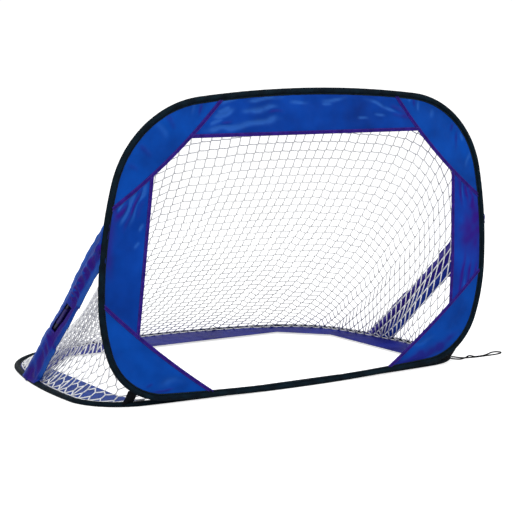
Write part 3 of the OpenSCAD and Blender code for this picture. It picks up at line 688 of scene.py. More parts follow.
HEAD_MARKS = {
    1: [
        (330, 755, 335, 730, 4, -1.5, 0.7), (315, 760, 320, 745, 3.5, 1.6, -0.5),
        (350, 750, 350, 720, 4, 1.8, -0.35), (470, 685, 465, 660, 4, -1.5, 0.7),
        (485, 675, 485, 610, 4, -1.8, 0.7), (500, 655, 510, 635, 3.5, 1.6, -0.5),
        (400, 725, 395, 700, 5, 1.8, -0.25), (540, 600, 525, 560, 5, 1.8, -0.25),
    ],
    -1: [
        (-330, 755, -330, 720, 4, -1.8, 0.7), (-425, 730, -400, 690, 6, -2, 0.55),
        (-500, 655, -465, 625, 6, -2, 0.45), (-345, 755, -350, 725, 4, 1.6, -0.2),
        (-450, 710, -420, 670, 7, 2, -0.2), (-530, 610, -500, 590, 6, -1.5, 0.3),
    ],
}  # fmt: skip
FOOT_MARKS = {
    1: [
        (285, 22, 430, 32, 10, -1.5, 1.1), (360, 30, 480, 56, 13, -2, 1),
        (440, 46, 530, 95, 10, -1.5, 0.6), (330, 60, 440, 85, 8, 2.5, -0.15),
    ],
    -1: [
        (-475, 45, -455, 55, 3.5, -1.6, 0.7), (-455, 32, -390, 35, 3.5, -2, 0.8),
        (-440, 50, -360, 60, 9, 2, -0.12),
    ],
}  # fmt: skip
SIDE_MARKS = {
    1: [
        (500, 540, 520, 450, 4, -2, 1), (520, 525, 540, 455, 4, -2, 1), (540, 510, 560, 440, 5, -2, 1),
        (570, 480, 575, 290, 22, 0, 0.8), (540, 430, 545, 320, 20, -1, 0.7),
        (520, 180, 536, 320, 4.5, -2, 1.2), (548, 200, 558, 300, 4.5, -2, 1.2),
        (562, 210, 582, 285, 4.5, -2, 1.2), (510, 530, 528, 455, 4, 2.2, -0.2),
        (538, 170, 545, 260, 6, 2.2, -0.2),
    ],
    -1: [
        (-535, 522, -562, 482, 3.5, 2.6, -0.75), (-503, 540, -550, 462, 6, 3, -0.7),
        (-475, 562, -522, 462, 6, 3, -0.65), (-528, 515, -565, 472, 6, -2, 0.95),
        (-490, 548, -540, 450, 5, -2.8, 1), (-488, 530, -505, 475, 7, -1, 0.5),
        (-485, 460, -495, 440, 3.5, 1.8, -0.6), (-495, 415, -512, 400, 3, 1.4, -0.5),
        (-572, 480, -580, 330, 12, 0, 0.6), (-555, 470, -585, 520, 10, 0, 0.5),
    ],
}  # fmt: skip
REAR_MARKS = [
    (-160, 700, -130, 800, 6, 3, -0.3), (100, 695, 140, 830, 8, 2, 0.4),
    (300, 740, 420, 700, 30, 1, 0.6),
]  # fmt: skip


# ---- cloth borders ----
PANEL_STEP = 0.0045
# how far inside the opening's seam, the rim and a panel's ends the cloth lies flat, and then rises
SEAM_HOLD, RIM_HOLD, END_HOLD = (0.0085, 0.010), (0.004, 0.012), (0.005, 0.010)
# the strongest painted highlight on a crest
CREST_LIMIT = -0.33
UNEVEN, UNEVEN_LEN, UNEVEN_SEED = 0.0004, 0.05, 77
HEAD_FOLD = ((0.575, 0.50), (0.42, 0.735), 0.016, 0.0012)
FOOT_FOLD = ((0.59, 0.20), (0.45, 0.035), 0.014, 0.0012)


def fold(p, start, end, width, height):
    """Height of one soft crease from start to end, in the panel's plane."""
    t, side = beside(p, start, end)
    body = np.exp(-((side / width) ** 2)) - 0.45 * np.exp(-(((side - 1.5 * width) / width) ** 2))
    return height * body * smoothstep(t / 0.25) * smoothstep((1 - t) / 0.35)


def relief(stretch, height, wavelength, seed, crease=None):
    """A function for a panel's slow unevenness, over points whose X is stretched or mirrored."""
    def lift(p):
        q = p * np.array([stretch, 1])
        return height * ripple(q, wavelength, seed) + (0 if crease is None else fold(q, *crease))
    return lift


GROUND_RELIEF = relief(1, 0.0012, 0.13, 41)


def creases(p, marks):
    """Height and painted shade of a panel's marks; below 0 the shade is a painted highlight."""
    lift, shade = np.zeros(len(p)), np.zeros(len(p))
    wander = 0.4 * ripple(p, 0.06, 82)
    uneven = 1 + 0.3 * ripple(p, 0.035, 83)
    for *millimetres, mark_shade in marks:
        x0, y0, x1, y1, width, height = np.array(millimetres) / 1000
        t, side = beside(p, (x0, y0), (x1, y1))
        body = np.exp(-((side / width + wander) ** 2))
        body = body * smoothstep((t + 0.15) / 0.5) * smoothstep((1.15 - t) / 0.6)
        lift += height * body
        shade += mark_shade * body * uneven
    return lift, np.clip(shade, CREST_LIMIT, 1)


def make_panel(node, inner, outer, place, form, material, slot, marks=()):
    """Cloth stretched between a seam line and the rim, with relief from a function and its own creases,
    which carry painted shade and highlights.
    """
    lengths = [travelled(line)[-1] for line in (inner, outer)]
    rows = int(max(lengths) / PANEL_STEP) + 2
    inner, outer = resample(inner, rows), resample(outer, rows)
    wide = np.linalg.norm(inner - outer, axis=1)[:, None]
    across = np.linspace(0, 1, int(wide.max() / PANEL_STEP) + 3)
    t = across[None, :, None]
    grid = inner[:, None] * (1 - t) + outer[:, None] * t
    flat = grid.reshape(-1, 2)
    # sewn on all sides, so the relief dies away towards the seams
    run = np.linspace(0, lengths[0], rows)
    from_ends = np.minimum(run, lengths[0] - run)[:, None]
    held = 1.0
    for distance, (still, rise) in (
        (wide * across, SEAM_HOLD), (wide * (1 - across), RIM_HOLD), (from_ends, END_HOLD)
    ):  # fmt: skip
        held = held * smoothstep((distance - still) / rise)
    lift, shade = creases(flat, marks)
    height = (form(flat) + lift + UNEVEN * ripple(flat, UNEVEN_LEN, UNEVEN_SEED)) * held.ravel()
    faces = [place(flat, height + side * CLOTH_T / 2).reshape(*grid.shape[:2], 3) for side in (-1, 1)]
    panel = shell(node + "_cloth", *faces, material, flat, shade=shade)
    attach(panel, BODY[place], node)


def make_corner(node, side, hoop, seam, low, high, *rest):
    """A corner panel, between a corner seam and the rim from one of the seam's ends to the other."""
    rim = hoop.cloth_edge(edge_at(side, low), edge_at(side, high))
    make_panel(node, sided(seam[side], side), sided(rim, side), *rest)


def make_side_borders(side, word):
    make_corner(
        f"front_top_{word}_corner", side, MOUTH, HEAD_SEAM, "head_side", "head_top", on_mouth,
        relief(side, 0.0008, 0.12, 5 + side, HEAD_FOLD), CORNER_CLOTH, "corner_cloth", HEAD_MARKS[side],
    )  # fmt: skip
    make_corner(
        f"front_bottom_{word}_corner", side, MOUTH, FOOT_SEAM, "foot_sill", "foot_side", on_mouth,
        relief(side, 0.0008, 0.11, 15 + side, FOOT_FOLD), CORNER_CLOTH, "corner_cloth", FOOT_MARKS[side],
    )  # fmt: skip
    rim = MOUTH.cloth_edge(EDGES["foot_side"], edge_at(side, "head_side"))
    # the right band takes the more violet copy of its cloth: painted shade
    make_panel(
        f"front_{word}_band", sided(SIDE_EDGE[side], side), sided(rim, side), on_mouth,
        relief(side, 0.0010, 0.1, 25 + side), RIGHT_BAND_SHADED_CLOTH if side > 0 else BAND_CLOTH, "band_cloth",
        SIDE_MARKS[side],
    )  # fmt: skip
    edge_x = GROUND_W / 2 - BASE_SIDE_BAND_W
    nose_x = edge_x - BASE_BAND_NOSE
    inner = [(nose_x, 0.014), (edge_x - 0.45 * BASE_BAND_NOSE, 0.045), (edge_x, 0.13), (edge_x, GROUND_D)]
    inner = cut(inner, REAR_SEAM[side], False)
    low = GROUND.crossing(((nose_x, -1), (nose_x, 1)), 0.3, GROUND.half * 0.4)
    rim = GROUND.cloth_edge(low, EDGES["rear_side"], 260)
    # the right base band takes the darker rear cloth, where the left one takes band_cloth: painted shade
    make_panel(
        f"base_{word}_band", sided(inner, side), sided(rim, side), on_ground, GROUND_RELIEF,
        REAR_SHADED_CLOTH if side > 0 else BAND_CLOTH, "band_cloth",
    )  # fmt: skip
    make_corner(
        f"base_rear_{word}_corner", side, GROUND, REAR_SEAM, "rear_side", "rear_back", on_ground,
        GROUND_RELIEF, REAR_SHADED_CLOTH, "rear_cloth",
    )  # fmt: skip


def make_borders():
    for side, word in SIDES.items():
        make_side_borders(side, word)
    rim = MOUTH.cloth_edge(edge_at(1, "head_top"), 2 * MOUTH.half - edge_at(-1, "head_top"))
    form = relief(0.35, 0.0007, 0.05, 35)
    make_panel("front_top_band", TOP_EDGE, rim, on_mouth, form, BAND_CLOTH, "band_cloth", TOP_MARKS)
    rear_y = GROUND_D - BASE_REAR_BAND_W
    inner = cut(cut([(0.6, rear_y), (-0.6, rear_y)], REAR_SEAM[1], True), sided(REAR_SEAM[-1], -1), False)
    rim = GROUND.cloth_edge(EDGES["rear_back"], 2 * GROUND.half - EDGES["rear_back"])
    make_panel(
        "base_rear_band", inner, rim, on_ground, GROUND_RELIEF, REAR_SHADED_CLOTH, "rear_cloth", REAR_MARKS
    )


# ---- tapes over the corner seams and the free edges ----
TAPE_W, TAPE_T, TAPE_STEP = 0.010, 0.0034, 0.004
# across the tape, as shares of its width and thickness
TAPE_SECTION = both_faces(
    [(-0.5, 0.25), (-0.44, 0.46), (-0.3, 0.5), (0, 0.46), (0.3, 0.5), (0.44, 0.46), (0.5, 0.25)]
)
TAPE_SEW_AT, TAPE_SEW_RISE = 0.36, 0.52
TAPE_PUCKER, TAPE_PUCKER_LEN = 0.0002, 0.012
TAPE_LAP = 0.001


def make_tape(name, line, node):
    """Folded tape sewn along both edges, following a line of points in the mouth's plane."""
    length = travelled(line)[-1]
    count = int(length / TAPE_STEP)
    line = resample(line, count)
    direction = np.gradient(line, axis=0)
    direction /= np.linalg.norm(direction, axis=1, keepdims=True)
    normal = np.stack([direction[:, 1], -direction[:, 0]], axis=1) * TAPE_W
    along = np.linspace(0, length, count)
    pucker = ripple(np.stack([along, 0 * along], axis=1), TAPE_PUCKER_LEN, len(name)) * TAPE_PUCKER
    rings = [on_mouth(line + normal * u, v * TAPE_T + pucker * np.sign(v)) for u, v in TAPE_SECTION]
    vertices = np.stack(rings, axis=1).reshape(-1, 3)
    uvs = grid_uvs(along, [u * TAPE_W for u, _ in TAPE_SECTION])
    tape = make_object(name, vertices, tube_faces(count, len(TAPE_SECTION)), TAPE, uvs)
    attach(tape, "front", node)
    sewn = [(u, v) for u in (-TAPE_SEW_AT, TAPE_SEW_AT) for v in (1, -1)]
    lines = [on_mouth(line + normal * u, v * TAPE_T * TAPE_SEW_RISE) for u, v in sewn]
    stitches(name + "_stitches", lines, TAPE_THREAD, "front", pitch=0.0040)


def make_tapes():
    inward = TAPE_W / 2 - TAPE_LAP
    for side, word in SIDES.items():
        for label, seam in (("top", HEAD_SEAM), ("bottom", FOOT_SEAM)):
            name = f"{label}_{word}_seam_tape"
            make_tape(name, sided(seam[side], side), f"{label}_{word}_corner_tape")
        make_tape(f"{word}_edge_tape", sided(SIDE_EDGE[side] + [inward, 0], side), f"{word}_band_tape")
    make_tape("top_edge_tape", TOP_EDGE + [0, inward], "top_band_tape")


# ---- netting: one knotless piece sewn to both hoops ----
NET_PITCH, NET_COLUMNS = 0.029, 72
NET_SAG, NET_WAIST, NET_INSET = 0.33, 0.18, 0.015
NET_EDGE_BACK, NET_EDGE_Z = 0.0033, 0.0088
# where the net begins on each hoop: this share along its second arc
NET_START = 0.2
SIDE_STRETCH = 0.42
CORD_R, CORD_SAG = 0.00172, 0.0005
CORD_PROFILE = ((0, 1.0), (0.5, 0.95), (1, 1.0))
LEG, LOOSE_LEG = 0.0013, 0.0030
# small waves of the hanging net: depth, and turn from column to column and from knot to knot
BILLOWS = ((0.0035, 0.31, -0.6), (0.0016, 0.9, 0.35))
REAR_SHARE, STRIP_COLUMNS = 0.30, 2


def net_column(share):
    """A fine line down one column of the net, from the mouth to the ground."""
    ends = []
    for hoop in (MOUTH, GROUND):
        start = hoop.starts[1] * (1 - NET_START) + hoop.starts[2] * NET_START
        distance = hoop.half - abs(share) * (hoop.half - start)
        ends.append(hoop.at(math.copysign(distance, share), NET_INSET))
    top = on_mouth(ends[0], NET_EDGE_BACK)[0]
    foot = on_ground(ends[1], NET_EDGE_Z - BASE_Z)[0]
    middle = (top + foot) / 2
    pull = middle + (top - middle) * [0, NET_SAG, 0] + (foot - middle) * [0, 0, NET_SAG]
    pull[0] = middle[0] * (1 - NET_WAIST)
    t = np.linspace(0, 1, 240)[:, None]
    return top * (1 - t) ** 2 + pull * 2 * t * (1 - t) + foot * t**2


def slack(share, down):
    """How loosely the meshes hang, 0 to 1: most at the sides, near the ground."""
    return float(smoothstep((abs(share) - 0.62) / 0.2) * smoothstep((down - 0.1) / 0.5))


def net_knots(shares):
    """Each column's knots, a mesh apart down its length, with the small billows of hanging net."""
    columns = []
    for i, share in enumerate(shares):
        line = net_column(share)
        pitch = NET_PITCH * (1 + SIDE_STRETCH * smoothstep((abs(share) - 0.45) / 0.4))
        knots = resample(line, max(3, round(travelled(line)[-1] / pitch) + 1))
        j = np.arange(len(knots))
        fade = np.sin(math.pi * np.linspace(0, 1, len(knots)))
        knots[:, 1] += fade * sum(depth * np.sin(a * i + b * j) for depth, a, b in BILLOWS)
        columns.append(knots)
    return columns


def split_knots(columns, shares):
    """Each knot as the two ends of its short leg: the first takes the cord from the left and the one going
    down, the second the cord to the right and the one coming from above."""
    first, second = [], []
    for i, knots in enumerate(columns):
        near, far = columns[max(0, i - 1)], columns[min(len(columns) - 1, i + 1)]
        a, b = knots.copy(), knots.copy()
        for j in range(1, len(knots) - 1):
            across = far[min(j, len(far) - 1)] - near[min(j, len(near) - 1)]
            down = knots[j + 1] - knots[j - 1]
            across, down = across / np.linalg.norm(across), down / np.linalg.norm(down)
            leg = (down - across) * (LEG + LOOSE_LEG * slack(shares[i], j / (len(knots) - 1)))
            a[j], b[j] = knots[j] + leg, knots[j] - leg
        first.append(a)
        second.append(b)
    return first, second


def net_strips():
    """Each strip's first and last column: narrow at the sides, where columns differ, one at the back."""
    edge = round(NET_COLUMNS * (1 - REAR_SHARE) / 2)
    cuts = [*range(0, edge, STRIP_COLUMNS), edge]
    left = list(zip(cuts[:-1], cuts[1:]))
    return left + [(edge, NET_COLUMNS - edge)] + [(NET_COLUMNS - b, NET_COLUMNS - a) for a, b in left[::-1]]


def strip_cords(low, high, first, second):
    """Starts and ends of a strip's cords; its last column belongs to the next strip."""
    pairs = []
    for i in range(low, high + 1):
        a, b = first[i], second[i]
        if i < high or high == NET_COLUMNS:
            pairs += list(zip(a[:-1], b[1:]))
            pairs += [(a[j], b[j]) for j in range(1, len(a) - 1)]
        if i < high:
            other = first[i + 1]
            for j in range(max(len(b), len(other))):
                pairs.append((b[min(j, len(b) - 1)], other[min(j, len(other) - 1)]))
    return (np.array([p[k] for p in pairs]) for k in (0, 1))


def make_net():
    """The netting, in strips of cords."""
    even = np.linspace(-1, 1, NET_COLUMNS + 1)
    shares = even * (1 + SIDE_STRETCH * np.abs(even) / 2) / (1 + SIDE_STRETCH / 2)
    columns = net_knots(shares)
    first, second = split_knots(columns, shares)
    for number, (low, high) in enumerate(net_strips()):
        made = tubes(*strip_cords(low, high, first, second), CORD_R, 5, CORD_PROFILE, CORD_SAG)
        strip = make_object(f"net_strip_{number + 1:02d}", *made, NET_CORD)
        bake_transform(strip)
        attach(strip, node="goal_net")


# ---- struts: hollow poles in loose cloth sleeves ----
FOOT_AT = np.array([GROUND.half_width(STRUT_FOOT_Y), STRUT_FOOT_Y])
TOP_AT = np.array([MOUTH.half_width(STRUT_TOP_H), STRUT_TOP_H])
STRUT_FOOT = on_ground(FOOT_AT, PIVOT_RISE)[0]
STRUT_TOP = on_mouth(TOP_AT, PIVOT_RISE)[0]
STRUT_LEN = float(np.linalg.norm(STRUT_TOP - STRUT_FOOT))
STRUT_MIDDLE = STRUT_LEN / 2
STRUT_UP = (STRUT_TOP - STRUT_FOOT) / STRUT_LEN
STRUT_OUT = np.cross([0, 0, 1.0], STRUT_UP)
STRUT_OUT /= np.linalg.norm(STRUT_OUT)
STRUT_FACE = np.cross(STRUT_OUT, STRUT_UP)
MOUTH_NORMAL = np.array([0, math.cos(MOUTH_LEAN), math.sin(MOUTH_LEAN)])
# how far the sleeve hangs to the front, from which height and over what length it draws back to the pole
SLEEVE_HANG = {1: 0.018, -1: 0.011}
HANG_FADE = {1: (0.40, 0.17), -1: (0.30, 0.24)}
SLEEVE_HALF = {1: 0.0376, -1: 0.0340}
FOOT_SHIFT, FOOT_SHIFT_LEN = {1: 0.0, -1: 0.009}, 0.12
SLEEVE_END_RISE, SLEEVE_TOP_RISE = 0.0015, -0.0012
HALVES_GAP = 0.0002
HUG_ROOM, HUG_LENGTH = 0.0006, 0.016
FERRULE_ROOM = 0.0086
FLAP_LEN = 0.195
# the window in the sleeve: its middle and width as shares of the half sleeve, its length, and its lean
SLOT_AT, SLOT_W, SLOT_LEN, SLOT_LEAN = -0.06, 0.54, 0.13, 0.005
HEM_GAP, HEM_GAP_ACROSS = 0.004, 0.004 / 0.035
SLEEVE_ROWS, OUTER_COLUMNS, SLOT_COLUMNS, INNER_COLUMNS = 104, 41, 7, 33
POCKET_R, POCKET_RISE, TIP_R = 0.011, 0.0095, 0.008


def half_name(side, upper):
    return f"{SIDES[side]}_{'upper' if upper else 'lower'}"


def on_strut(x, y, z, side):
    """Points in the right strut's frame: z up the pole, y outward, x across the sleeve, to the front."""
    p = STRUT_FOOT + x[..., None] * STRUT_FACE + y[..., None] * STRUT_OUT + z[..., None] * STRUT_UP
    return sided(p, side)


def teeth(phase):
    """Rounded zigzag, 0 to 1."""
    return np.abs(np.mod(phase, 1) * 2 - 1) ** 1.4


def bell(distance, width):
    """1 at distance 0, falling smoothly to both sides."""
    return np.exp(-((distance / width) ** 2))


def sleeve_form(u, z, outer, side, upper):
    """Place across and depth of the sleeve's cloth, and its painted shade; u runs across it from -1 to 1.
    """
    seed = 51 + side + 3 * upper

    def wavy(wavelength, number, *coordinates):
        points = np.stack([c.ravel() for c in coordinates], axis=1)
        return ripple(points, wavelength, seed + number).reshape(z.shape)

    from_window = np.abs(z - STRUT_MIDDLE) - FLAP_LEN / 2
    puffed = smoothstep((from_window + 0.001) / 0.004)
    foot, edge = bell(z, 0.05), wavy(0.05, 0, z, np.sign(u))
    half = SLEEVE_HALF[side] + 0.0032 * puffed - 0.0014 + 0.0012 * edge + 0.003 * foot
    fade_from, fade_length = HANG_FADE[side]
    x = SLEEVE_HANG[side] * (1 - smoothstep((z - fade_from) / fade_length)) + u * half
    x = x + FOOT_SHIFT[side] * bell(z, FOOT_SHIFT_LEN)
    from_middle = (z - STRUT_MIDDLE) / (SLOT_LEN / 2)
    x = x + SLOT_LEAN * from_middle * bell(np.maximum(0, np.abs(from_middle) - 1), 0.5) * (1 - u**2)
    closing = 1 - np.abs(u) ** 7
    soft = wavy(0.03, 1, u * 0.036, z * 0.4)
    cover = (FERRULE_ROOM + 0.001 * bell(np.minimum(z, STRUT_LEN - z), 0.045)) * bell(x, 0.0125)
    if not outer:
        depth = cover + 0.0028 * (1 - u**2) + 0.0007 * soft
        # painted shade on the inner face, deeper towards its back edge
        return x, -depth * closing, 0.25 + 0.6 * smoothstep((0.35 - u) / 0.5)
    # folds spring from the pole's ridge and cross the hollow beside it
    hollow = bell(u - 0.2, 0.38)
    pitch, slant = (0.043, 0.9) if upper else (0.068, 0.55)
    wander, reach = wavy(0.16, 2, z), 0.5 + 0.5 * wavy(0.09, 3, z)
    crease = teeth(z / pitch + slant * u + 0.35 * wander)
    strength = (0.0032 + 0.0022 * reach) * puffed * smoothstep((z + 0.01) / 0.04)
    front_roll = 0.0046 * bell(u - 0.76, 0.17)
    depth = cover + 0.0016 * (1 - u**2) + front_roll
    depth = depth + hollow * strength * crease + 0.0008 * soft + 0.0016 * puffed * (1 - u**2)
    # painted shade in the zigzag hollows between folds, near the foot and round the window; painted shadow
    # at the window's ends; lit is a painted highlight along both edges
    notch = np.mod(z / 0.037 - 0.35 * u + 0.45 * wander, 1)
    jagged = smoothstep((u + 0.34 - 0.5 * notch) / 0.12) * smoothstep((0.6 - u) / 0.16)
    fold_shade = (jagged if upper else hollow) * (0.45 + 0.55 * smoothstep((0.75 - crease) / 0.3)) * puffed
    low = smoothstep((0.075 - z) / 0.05) * (0.55 + 0.45 * np.cos(2 * math.pi * (u * 0.9 + 0.2)))
    window_shade = (1 - puffed) * bell(u - 0.3, 0.46)
    step = bell(from_window, 0.006) * (u > -0.85)
    lit = 0.30 * smoothstep((np.abs(u) - 0.62) / 0.2) * (1 - foot)
    shade = np.clip(1.2 * fold_shade + 0.9 * low + 1.1 * window_shade + 0.7 * step - lit, -0.5, 1)
    return x, depth * closing, shade


def rim_offset(p, side, upper):
    """How far outward of each point the rim's centreline passes."""
    if not upper:
        return GROUND.half_width(p[..., 1]) - p[..., 0] * side
    height = (p[..., 2] - FRONT_Z) * math.cos(MOUTH_LEAN) - (p[..., 1] - FRONT_Y) * math.sin(MOUTH_LEAN)
    return MOUTH.half_width(height) - p[..., 0] * side


def make_sleeve(side, upper):
    """Half of a strut's sleeve. Its outer face has half of the window, and its end hugs the rim."""
    part = half_name(side, upper)
    slot_u = SLOT_AT + SLOT_W / 2 * np.linspace(-1, 1, SLOT_COLUMNS)
    outer_u = np.unique(np.concatenate([np.linspace(-1, 1, OUTER_COLUMNS), slot_u]))
    # the last column meets the first, so the sleeve is a closed tube
    u = np.concatenate([outer_u, np.linspace(1, -1, INNER_COLUMNS)[1:], outer_u[:1]])
    outward = (np.arange(len(u)) < len(outer_u)) | (np.arange(len(u)) == len(u) - 1)
    share = np.linspace(0, 1, SLEEVE_ROWS)[:, None]
    across = SLEEVE_HALF[side] * 1.06 * u
    if upper:
        slope, tilt = (float(v @ MOUTH_NORMAL) for v in (STRUT_UP, STRUT_FACE))
        last = STRUT_LEN + (SLEEVE_TOP_RISE - PIVOT_RISE - across * tilt) / slope
        z = (STRUT_MIDDLE + HALVES_GAP) * (1 - share) + share * last
        to_end = last - z
    else:
        rise = BASE_Z + SLEEVE_END_RISE - STRUT_FOOT[2]
        first = (rise - (across + SLEEVE_HANG[side] + FOOT_SHIFT[side]) * STRUT_FACE[2]) / STRUT_UP[2]
        z = first * (1 - share) + share * (STRUT_MIDDLE - HALVES_GAP)
        to_end = z - first
    uu = np.broadcast_to(u, z.shape)
    forms = [sleeve_form(uu, z, face, side, upper) for face in (True, False)]
    x, y, shade = (np.where(outward, a, b) for a, b in zip(*forms))
    face = np.where(outward, 1.0, -1.0) * np.ones(z.shape)
    at_end = smoothstep(1 - to_end / HUG_LENGTH)
    pocket = np.sqrt(np.maximum(0, (POCKET_R + 0.0012) ** 2 - x**2))
    if upper:
        # the last row turns in under the pocket and meets the rim
        pocket[-1] = 0
    hug = rim_offset(on_strut(x, 0 * x, z, side), side, upper) + face * np.maximum(RIM_R + HUG_ROOM, pocket)
    cover = np.maximum(np.abs(y), pocket * smoothstep(1.6 - to_end / HUG_LENGTH)) * face
    y = cover * (1 - at_end) + hug * at_end
    layers = [on_strut(x, y + k * face * CLOTH_T / 2, z, side) for k in (1, -1)]
    mid_z = (z[:-1, :-1] + z[1:, 1:]) / 2
    mid_u = (uu[:-1, :-1] + uu[:-1, 1:]) / 2
    in_slot = (np.abs(mid_z - STRUT_MIDDLE) < SLOT_LEN / 2) & (np.abs(mid_u - SLOT_AT) < SLOT_W / 2)
    holes = in_slot & outward[:-1] & outward[1:] & (mid_u > -1)
    flat = np.stack([np.where(outward, x, 0.14 - x), z], axis=-1).reshape(-1, 2)
    sleeve = shell(part + "_sleeve_cloth", *layers, SLEEVE_CLOTH, flat, holes, shade.ravel())
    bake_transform(sleeve)
    attach(sleeve, node=part + "_sleeve")


def make_hem(side, upper):
    """Stitches round the window's edge, on the sleeve's outer face."""
    half_w, half_l = SLOT_W / 2 + HEM_GAP_ACROSS, SLOT_LEN / 2 + HEM_GAP
    t = np.linspace(0, half_l, 60)
    across = np.linspace(-half_w, half_w, 30)[1:-1]
    u = np.concatenate([np.full(60, -half_w), across, np.full(60, half_w)]) + SLOT_AT
    z = STRUT_MIDDLE + (1 if upper else -1) * np.concatenate([t, np.full(28, half_l), t[::-1]])
    x, y, _ = sleeve_form(u, z, True, side, upper)
    line = on_strut(x, y + CLOTH_T * 0.62, z, side)
    part = half_name(side, upper)
    stitches(part + "_sleeve_hem", [line], TAPE_THREAD, part)


# ---- shock cord inside the poles ----
CORD_START, SHOCK_R, SHOCK_KNOT_R = 0.0086, 0.0017, 0.0023
SHOCK_SIDES = 12


def make_shock_cord(side, upper):
    """The elastic in one pole, from its knot to the joint: it parts from the other when folded."""
    turn = np.linspace(0, math.pi * 0.78, 9)
    knot_z = CORD_START - SHOCK_KNOT_R * np.cos(turn)
    along = np.linspace(knot_z[-1] + 0.001, STRUT_MIDDLE - 0.0006, 60)
    z = np.concatenate([knot_z, along])
    ribbed = SHOCK_R * (0.97 + 0.03 * np.cos(along * 2 * math.pi / 0.009))
    r = np.concatenate([np.maximum(0.0002, SHOCK_KNOT_R * np.sin(turn)), ribbed])
    z = STRUT_LEN - z if upper else z
    x, y = (np.outer(r, f(turns(SHOCK_SIDES))) for f in (np.cos, np.sin))
    rings = on_strut(x, y, np.broadcast_to(z[:, None], x.shape), side).reshape(-1, 3)
    part = half_name(side, upper)
    cord = make_object(part + "_shock_cord", rings, tube_faces(len(z), SHOCK_SIDES), SHOCK)
    attach(cord, part, f"{SIDES[side]}_shock_cord")


def make_struts():
    for half in HALVES:
        make_sleeve(*half)
        make_hem(*half)
    for half in HALVES:
        make_shock_cord(*half)


# ---- sewn pockets that seat the struts' tips ----
POCKET_SIDES = 48


def make_pocket(node, at, place, low):
    """A webbing cup over the rim, with a rolled lip and two rounds of stitches."""
    seat = TIP_R + SEAT
    dish = [(seat * math.sin(a), PIVOT_RISE - seat * math.cos(a)) for a in np.linspace(0, 1.0, 7)]
    rim_r = math.sqrt(seat**2 - (PIVOT_RISE - POCKET_RISE + 0.0006) ** 2)
    # radius and height of each round, up the outside, over the lip and down into the dish
    wall = [(POCKET_R - 0.0004, low), (POCKET_R, 0.0), (POCKET_R - 0.0003, 0.004), (POCKET_R, 0.0075)]
    wall += [(POCKET_R - 0.0004, POCKET_RISE - 0.0004), (POCKET_R - 0.0014, POCKET_RISE)]
    wall += [(rim_r + 0.0008, POCKET_RISE), (rim_r, POCKET_RISE - 0.0006)]
    wall += [(r, h) for r, h in dish[::-1] if h < POCKET_RISE - 0.0008 and r > 0.0005]
    angles = turns(POCKET_SIDES)
    circle = np.stack([np.cos(angles), np.sin(angles)], axis=1)
    pucker = 1 + 0.012 * np.cos(9 * angles)[:, None]
    rings = [place(at + circle * r * (pucker if r > rim_r + 0.0005 else 1), h) for r, h in wall]
    vertices = np.concatenate([*rings, place(at[None], PIVOT_RISE - seat)])
    faces = grid_faces(len(wall), POCKET_SIDES, wrap=True)
    last, centre = (len(wall) - 1) * POCKET_SIDES, len(wall) * POCKET_SIDES
    faces += [(last + j, last + (j + 1) % POCKET_SIDES, centre) for j in range(POCKET_SIDES)]
    faces.append(tuple(range(POCKET_SIDES)))
    uvs = [np.stack([angles * POCKET_R, 0 * angles + h], axis=1) for _, h in wall]
    cup = make_object(node + "_cup", vertices, faces, POCKET, np.concatenate([*uvs, [[0, 0.02]]]))
    attach(cup, BODY[place], node)
    full = np.concatenate([circle, circle[:1]])
    lines = [place(at + full * (POCKET_R + 0.0002), h) for h in (0.0078, 0.0022)]
    stitches(node + "_stitches", lines, TAPE_THREAD, BODY[place], pitch=0.003, radius=0.0003)


def make_pockets():
    for side, word in SIDES.items():
        make_pocket(f"{word}_foot_pocket", sided(FOOT_AT, side), on_ground, -0.003)
        make_pocket(f"{word}_top_pocket", sided(TOP_AT, side), on_mouth, 0.0005)


# ---- piping and tabs that join the two hoops ----
PIPING_ROWS, PIPING_SIDES = 161, 16
PIPING_STITCHES_AT = (math.radians(100), math.radians(-15))
TAB_W, TAB_T, TAB_ROWS, TAB_BOW = 0.030, 0.0016, 40, 0.0016
TAB_LAP, TAB_RISE = 0.003, 0.001
# across the tab, as shares of half its width and half its thickness
TAB_SECTION = both_faces([(-1, 0.3), (-0.94, 0.9), (-0.6, 1), (0, 1), (0.6, 1), (0.94, 0.9), (1, 0.3)])


def make_piping():
    """A corded cloth edge, puckered by its stitches, that both rims are sewn to."""
    low, high = (np.array(p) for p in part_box("hinge_piping"))
    centre, radius = (low + high) / 2, (high[2] - low[2]) / 2
    x = np.linspace(low[0], high[0], PIPING_ROWS)
    cells = grid_uvs(x, turns(PIPING_SIDES) * 0.004)
    r = radius * (0.985 - 0.05 * (0.5 + 0.5 * ripple(cells, 0.007, 61)))
    taper = smoothstep((cells[:, 0] - low[0]) / 0.003 + 0.35)
    taper = taper * smoothstep((high[0] - cells[:, 0]) / 0.003 + 0.35)
    r = r * (0.45 + 0.55 * taper)
    a = np.tile(turns(PIPING_SIDES), PIPING_ROWS)
    vertices = np.stack([cells[:, 0], centre[1] + r * np.cos(a), centre[2] + r * np.sin(a)], axis=1)
    faces = tube_faces(PIPING_ROWS, PIPING_SIDES)
    piping = make_object("hinge_piping_cloth", vertices, faces, BINDING, cells)
    attach(piping, "base", "hinge_piping")
    lines = []
    for a in PIPING_STITCHES_AT:
        y, z = centre[1] + radius * math.cos(a), centre[2] + radius * math.sin(a)
        lines.append(np.stack([x, 0 * x + y, 0 * x + z], axis=1))
    stitches("hinge_piping_stitches", lines, THREAD, "base", pitch=0.0036, radius=0.00035)


